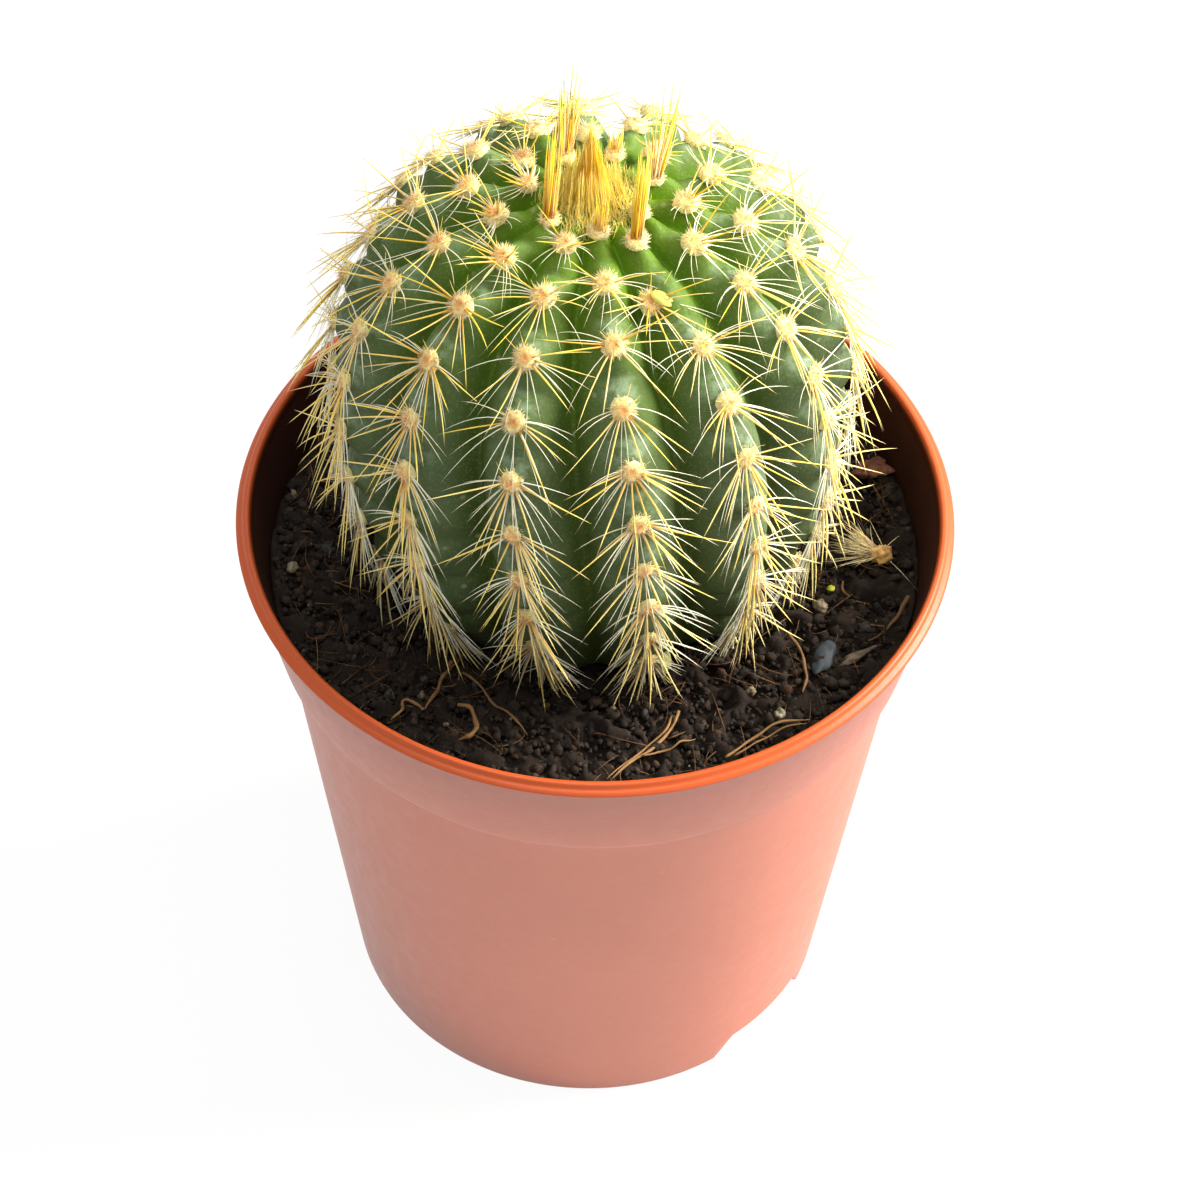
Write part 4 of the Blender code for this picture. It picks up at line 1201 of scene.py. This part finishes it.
def fibre_tube(thickness, corners, seed, sides=7):
    """A tube carried along the route, its thickness swelling and thinning by a sixth, tapering at its end."""
    route = smooth_route(corners)
    wander = np.arange(len(route)) / 4
    randoms = np.random.default_rng(seed)
    route = route + np.stack([np.sin(wander * 1.7 + seed), np.cos(wander * 2.3 + seed)], -1) * 0.06
    line = np.column_stack([route, soil_height(route) + 0.85 + 0.2 * np.sin(wander * 1.3 + seed)])
    heading = unit(np.gradient(line, axis=0))
    across = unit(np.cross(heading, (0.0, 0.0, 1.0)))
    other = np.cross(heading, across)
    spin = turns_round(sides)[None, :, None]
    radius = thickness / 2 * (1 + 0.15 * np.sin(wander * 2.1 + 2 * seed))
    radius[-6:] *= np.linspace(0.9, 0.35, 6)
    radius = radius[:, None, None] * (1 + randoms.uniform(-0.08, 0.08, (len(route), sides, 1)))
    rings = line[:, None] + (across[:, None] * np.cos(spin) + other[:, None] * np.sin(spin)) * radius
    return capped_grid(rings, line[0], line[-1])


def make_fibres(name, fibres, nodes, material, seed):
    """Several fibre tubes as one piece."""
    tubes = [fibre_tube(thickness, corners, seed + n) for n, (thickness, _, corners) in enumerate(fibres)]
    pale = np.repeat([fibre[1] for fibre in fibres], [len(tube[0]) for tube in tubes])
    made = add_mesh(name, *gathered(tubes), material, pale=pale)
    face_outwards(made)
    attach(made, "root")
    if nodes:
        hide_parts(*nodes)


# Loose pieces on the soil: name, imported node, finish, slot, x and y, half sizes, turn and roughness.
LUMPS = (
    ("bark_flake_1", "bark_chip_1", "bark_flake", "bark", (25.3, 10.6), (1.7, 1.1, 0.55), 20.0, 0.12),
    ("bark_flake_2", "bark_chip_2", "grey_bark", "bark", (23.6, -11.5), (1.7, 0.4, 0.35), 35.0, 0.12),
    ("slate_flake", "stone_chip_1", "slate_grit", "grit", (20.6, -11.8), (0.95, 2.0, 0.45), -20.0, 0.07),
    ("quartz_grain_1", "grit_grain_1", "quartz_grit", "grit", (20.4, -5.8), (0.6, 0.6, 0.5), 0.0, 0.1),
    ("quartz_grain_2", "grit_grain_2", "quartz_grit", "grit", (-27.2, -3.1), (0.55, 0.5, 0.45), 40.0, 0.1),
    ("quartz_grain_3", "grit_grain_3", "quartz_grit", "grit", (16.6, -18.6), (0.55, 0.5, 0.45), 80.0, 0.1),
    ("green_shoot", "grit_grain_4", "seed_leaf", "grit", (21.4, -3.4), (0.4, 0.35, 0.3), 20.0, 0.1),
)


def make_lumps():
    """Bark, slate and quartz pieces and a green shoot, each with its foot on the soil."""
    finishes = {finish: mottled(finish) for finish in dict.fromkeys(lump[2] for lump in LUMPS)}
    for number, (name, node, finish, slot, place, half_sizes, turn, roughness) in enumerate(LUMPS):
        turned = np.diag(half_sizes) @ np.array(Matrix.Rotation(math.radians(turn), 3, "Z")).T
        middle = np.array([*place, soil_height(place) + half_sizes[2] + 0.25])
        made = add_mesh(name, *blob(middle, turned, roughness, 50 + number), finishes[finish])
        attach(made, "root")
        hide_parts(node)


SHED_PLACE = (26.0, 0.1)


def make_shed_cluster(material):
    """A dried, fallen spine cluster on its side, its spines fanned towards the stem."""
    randoms = np.random.default_rng(61)
    count = 90
    heart = np.array([*SHED_PLACE, soil_height(SHED_PLACE) + 1.2])
    axis = unit(np.array([-0.9, 0.25, 0.15]))
    heading = unit(axis + randoms.normal(0, 0.38, (count, 3)))
    base = heart + heading * 0.5 + randoms.normal(0, 0.18, (count, 3))
    tip = base + heading * randoms.uniform(2.6, 5.4, (count, 1))
    *spines, along, each = hairs(base, tip, randoms.normal(0, 0.15, (count, 3)), np.full(count, 0.09), 5)
    knob = blob(heart, np.diag((0.95, 0.85, 0.8)), 0.14, 71, 16, 24)
    points, faces = gathered([spines, knob])
    spare = len(knob[0])
    made = add_mesh(
        "shed_spines", laid_on_soil(points), faces, material,
        along=np.append(along, np.full(spare, 0.08)),
        gold=np.append(np.repeat(randoms.uniform(0.45, 0.85, count), each), np.full(spare, 0.8)),
        age=np.append(np.full(len(along), 0.25), np.full(spare, 0.1)),
    )
    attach(made, "root")
    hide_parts("shed_spine_cluster")


# Camera, light and floor -------------------------------------------------------------------------

CAMERA_LENS = 135.0
CAMERA_SENSOR = 36.0
CAMERA_ELEVATION = 49.96
CAMERA_DISTANCE = 412.6
CAMERA_TARGET = (0.6, 0.0, 46.4)
CAMERA_ROLL = 1.375


def set_camera():
    """A long lens in front of the plant, looking down on it."""
    data = bpy.data.cameras.new("camera")
    data.lens = CAMERA_LENS
    data.sensor_width = CAMERA_SENSOR
    data.clip_start = 0.01
    data.clip_end = 10.0
    camera = bpy.data.objects.new("camera", data)
    bpy.context.scene.collection.objects.link(camera)
    turn = Matrix.Rotation(math.radians(90.0 - CAMERA_ELEVATION), 4, "X")
    turn = turn @ Matrix.Rotation(math.radians(CAMERA_ROLL), 4, "Z")
    place = (Vector(CAMERA_TARGET) + turn.col[2].xyz * CAMERA_DISTANCE) * MM
    camera.matrix_world = Matrix.Translation(place) @ turn
    bpy.context.scene.camera = camera


def add_softbox(name, place, target, width, height, power, colour):
    """A rectangular lamp at place, facing target; lengths in metres and power in watts."""
    data = bpy.data.lights.new(name, "AREA")
    data.shape = "RECTANGLE"
    data.size = width
    data.size_y = height
    data.energy = power
    data.color = linear(colour)[:3]
    lamp = bpy.data.objects.new(name, data)
    bpy.context.scene.collection.objects.link(lamp)
    lamp.location = place
    lamp.rotation_euler = (Vector(place) - Vector(target)).to_track_quat("Z", "Y").to_euler()


def seen_white(holder):
    """1 where a camera, mirror or glass ray meets the material, else 0."""
    rays = add_node(holder, "ShaderNodeLightPath", "Is Camera Ray", {})
    glossy = rays.node.outputs["Is Glossy Ray"]
    through = rays.node.outputs["Is Transmission Ray"]
    seen = add_node(holder, "ShaderNodeMath", "Value", {0: rays, 1: glossy}, operation="MAXIMUM")
    return add_node(holder, "ShaderNodeMath", "Value", {0: seen, 1: through}, operation="MAXIMUM")


def white_card():
    """Matt white card under studio light: white to the eye and in reflections, it takes the pot's shadow."""
    card = new_material("white_card")
    seen = seen_white(card)
    share = add_node(card, "ShaderNodeMath", "Value", {0: seen, 1: 0.94}, operation="MULTIPLY")
    matt = add_node(card, "ShaderNodeBsdfPrincipled", "BSDF", {"Base Color": "F7F7F7", "Roughness": 0.9})
    glow = add_node(card, "ShaderNodeEmission", "Emission", {"Color": "FFFFFF", "Strength": 1.0})
    surface = add_node(card, "ShaderNodeMixShader", "Shader", {0: share, 1: matt, 2: glow})
    add_node(card, "ShaderNodeOutputMaterial", None, {"Surface": surface})
    return card


def set_stage():
    """A white floor and room; soft lights at the right, overhead, behind and, weakest, at the left."""
    corners = np.array([(-1500, -1500, 0), (1500, -1500, 0), (1500, 1500, 0), (-1500, 1500, 0)], float)
    floor = add_mesh("studio_floor", corners, [np.array([(0, 1, 2, 3)])], white_card(), smooth=False)

    world = bpy.data.worlds.new("white_room")
    world.use_nodes = True
    world.node_tree.nodes.clear()
    bpy.context.scene.world = world
    strength = add_node(world, "ShaderNodeMapRange", "Result", ranged(seen_white(world), 0.0, 1.0, 0.34, 1.0))
    room = add_node(world, "ShaderNodeBackground", "Background", {"Color": "FFFFFF", "Strength": strength})
    add_node(world, "ShaderNodeOutputWorld", None, {"Surface": room})

    add_softbox("window_light", (0.50, 0.12, 0.38), (0.0, 0.0, 0.06), 0.28, 0.28, 12.5, "FFF8EE")
    add_softbox("top_light", (-0.05, -0.12, 0.90), (0.0, 0.0, 0.07), 0.5, 0.5, 4.0, "FFFFFF")
    add_softbox("back_light", (0.05, 0.60, 0.50), (0.0, 0.0, 0.08), 0.6, 0.4, 1.3, "FFFFFF")
    add_softbox("fill_light", (-0.45, -0.35, 0.45), (0.0, 0.0, 0.06), 0.5, 0.5, 0.15, "EAF0FF")
    bpy.context.scene.view_settings.view_transform = "Standard"


# The whole object --------------------------------------------------------------------------------

set_camera()
set_stage()
make_pot(moulded_polypropylene())
make_stem(waxy_skin())
peat = damp_peat()
make_soil(peat)
make_crumbs(peat)
horn = horn_spines()
make_spines(horn)
make_wool(areole_felt())
make_crown(crown_horn())
root = dead_root()
make_rootlets(root)
make_fibres("root_fibres", ROOT_FIBRES, [f"root_fibre_{n}" for n in range(1, 8)], root, 41)
make_fibres("straws", STRAWS, ["straw_1", "straw_2"], root, 51)
make_fibres("root_strands", STRANDS, [], root, 56)
make_lumps()
make_buds(mottled("soft_bud"))
make_shed_cluster(horn)
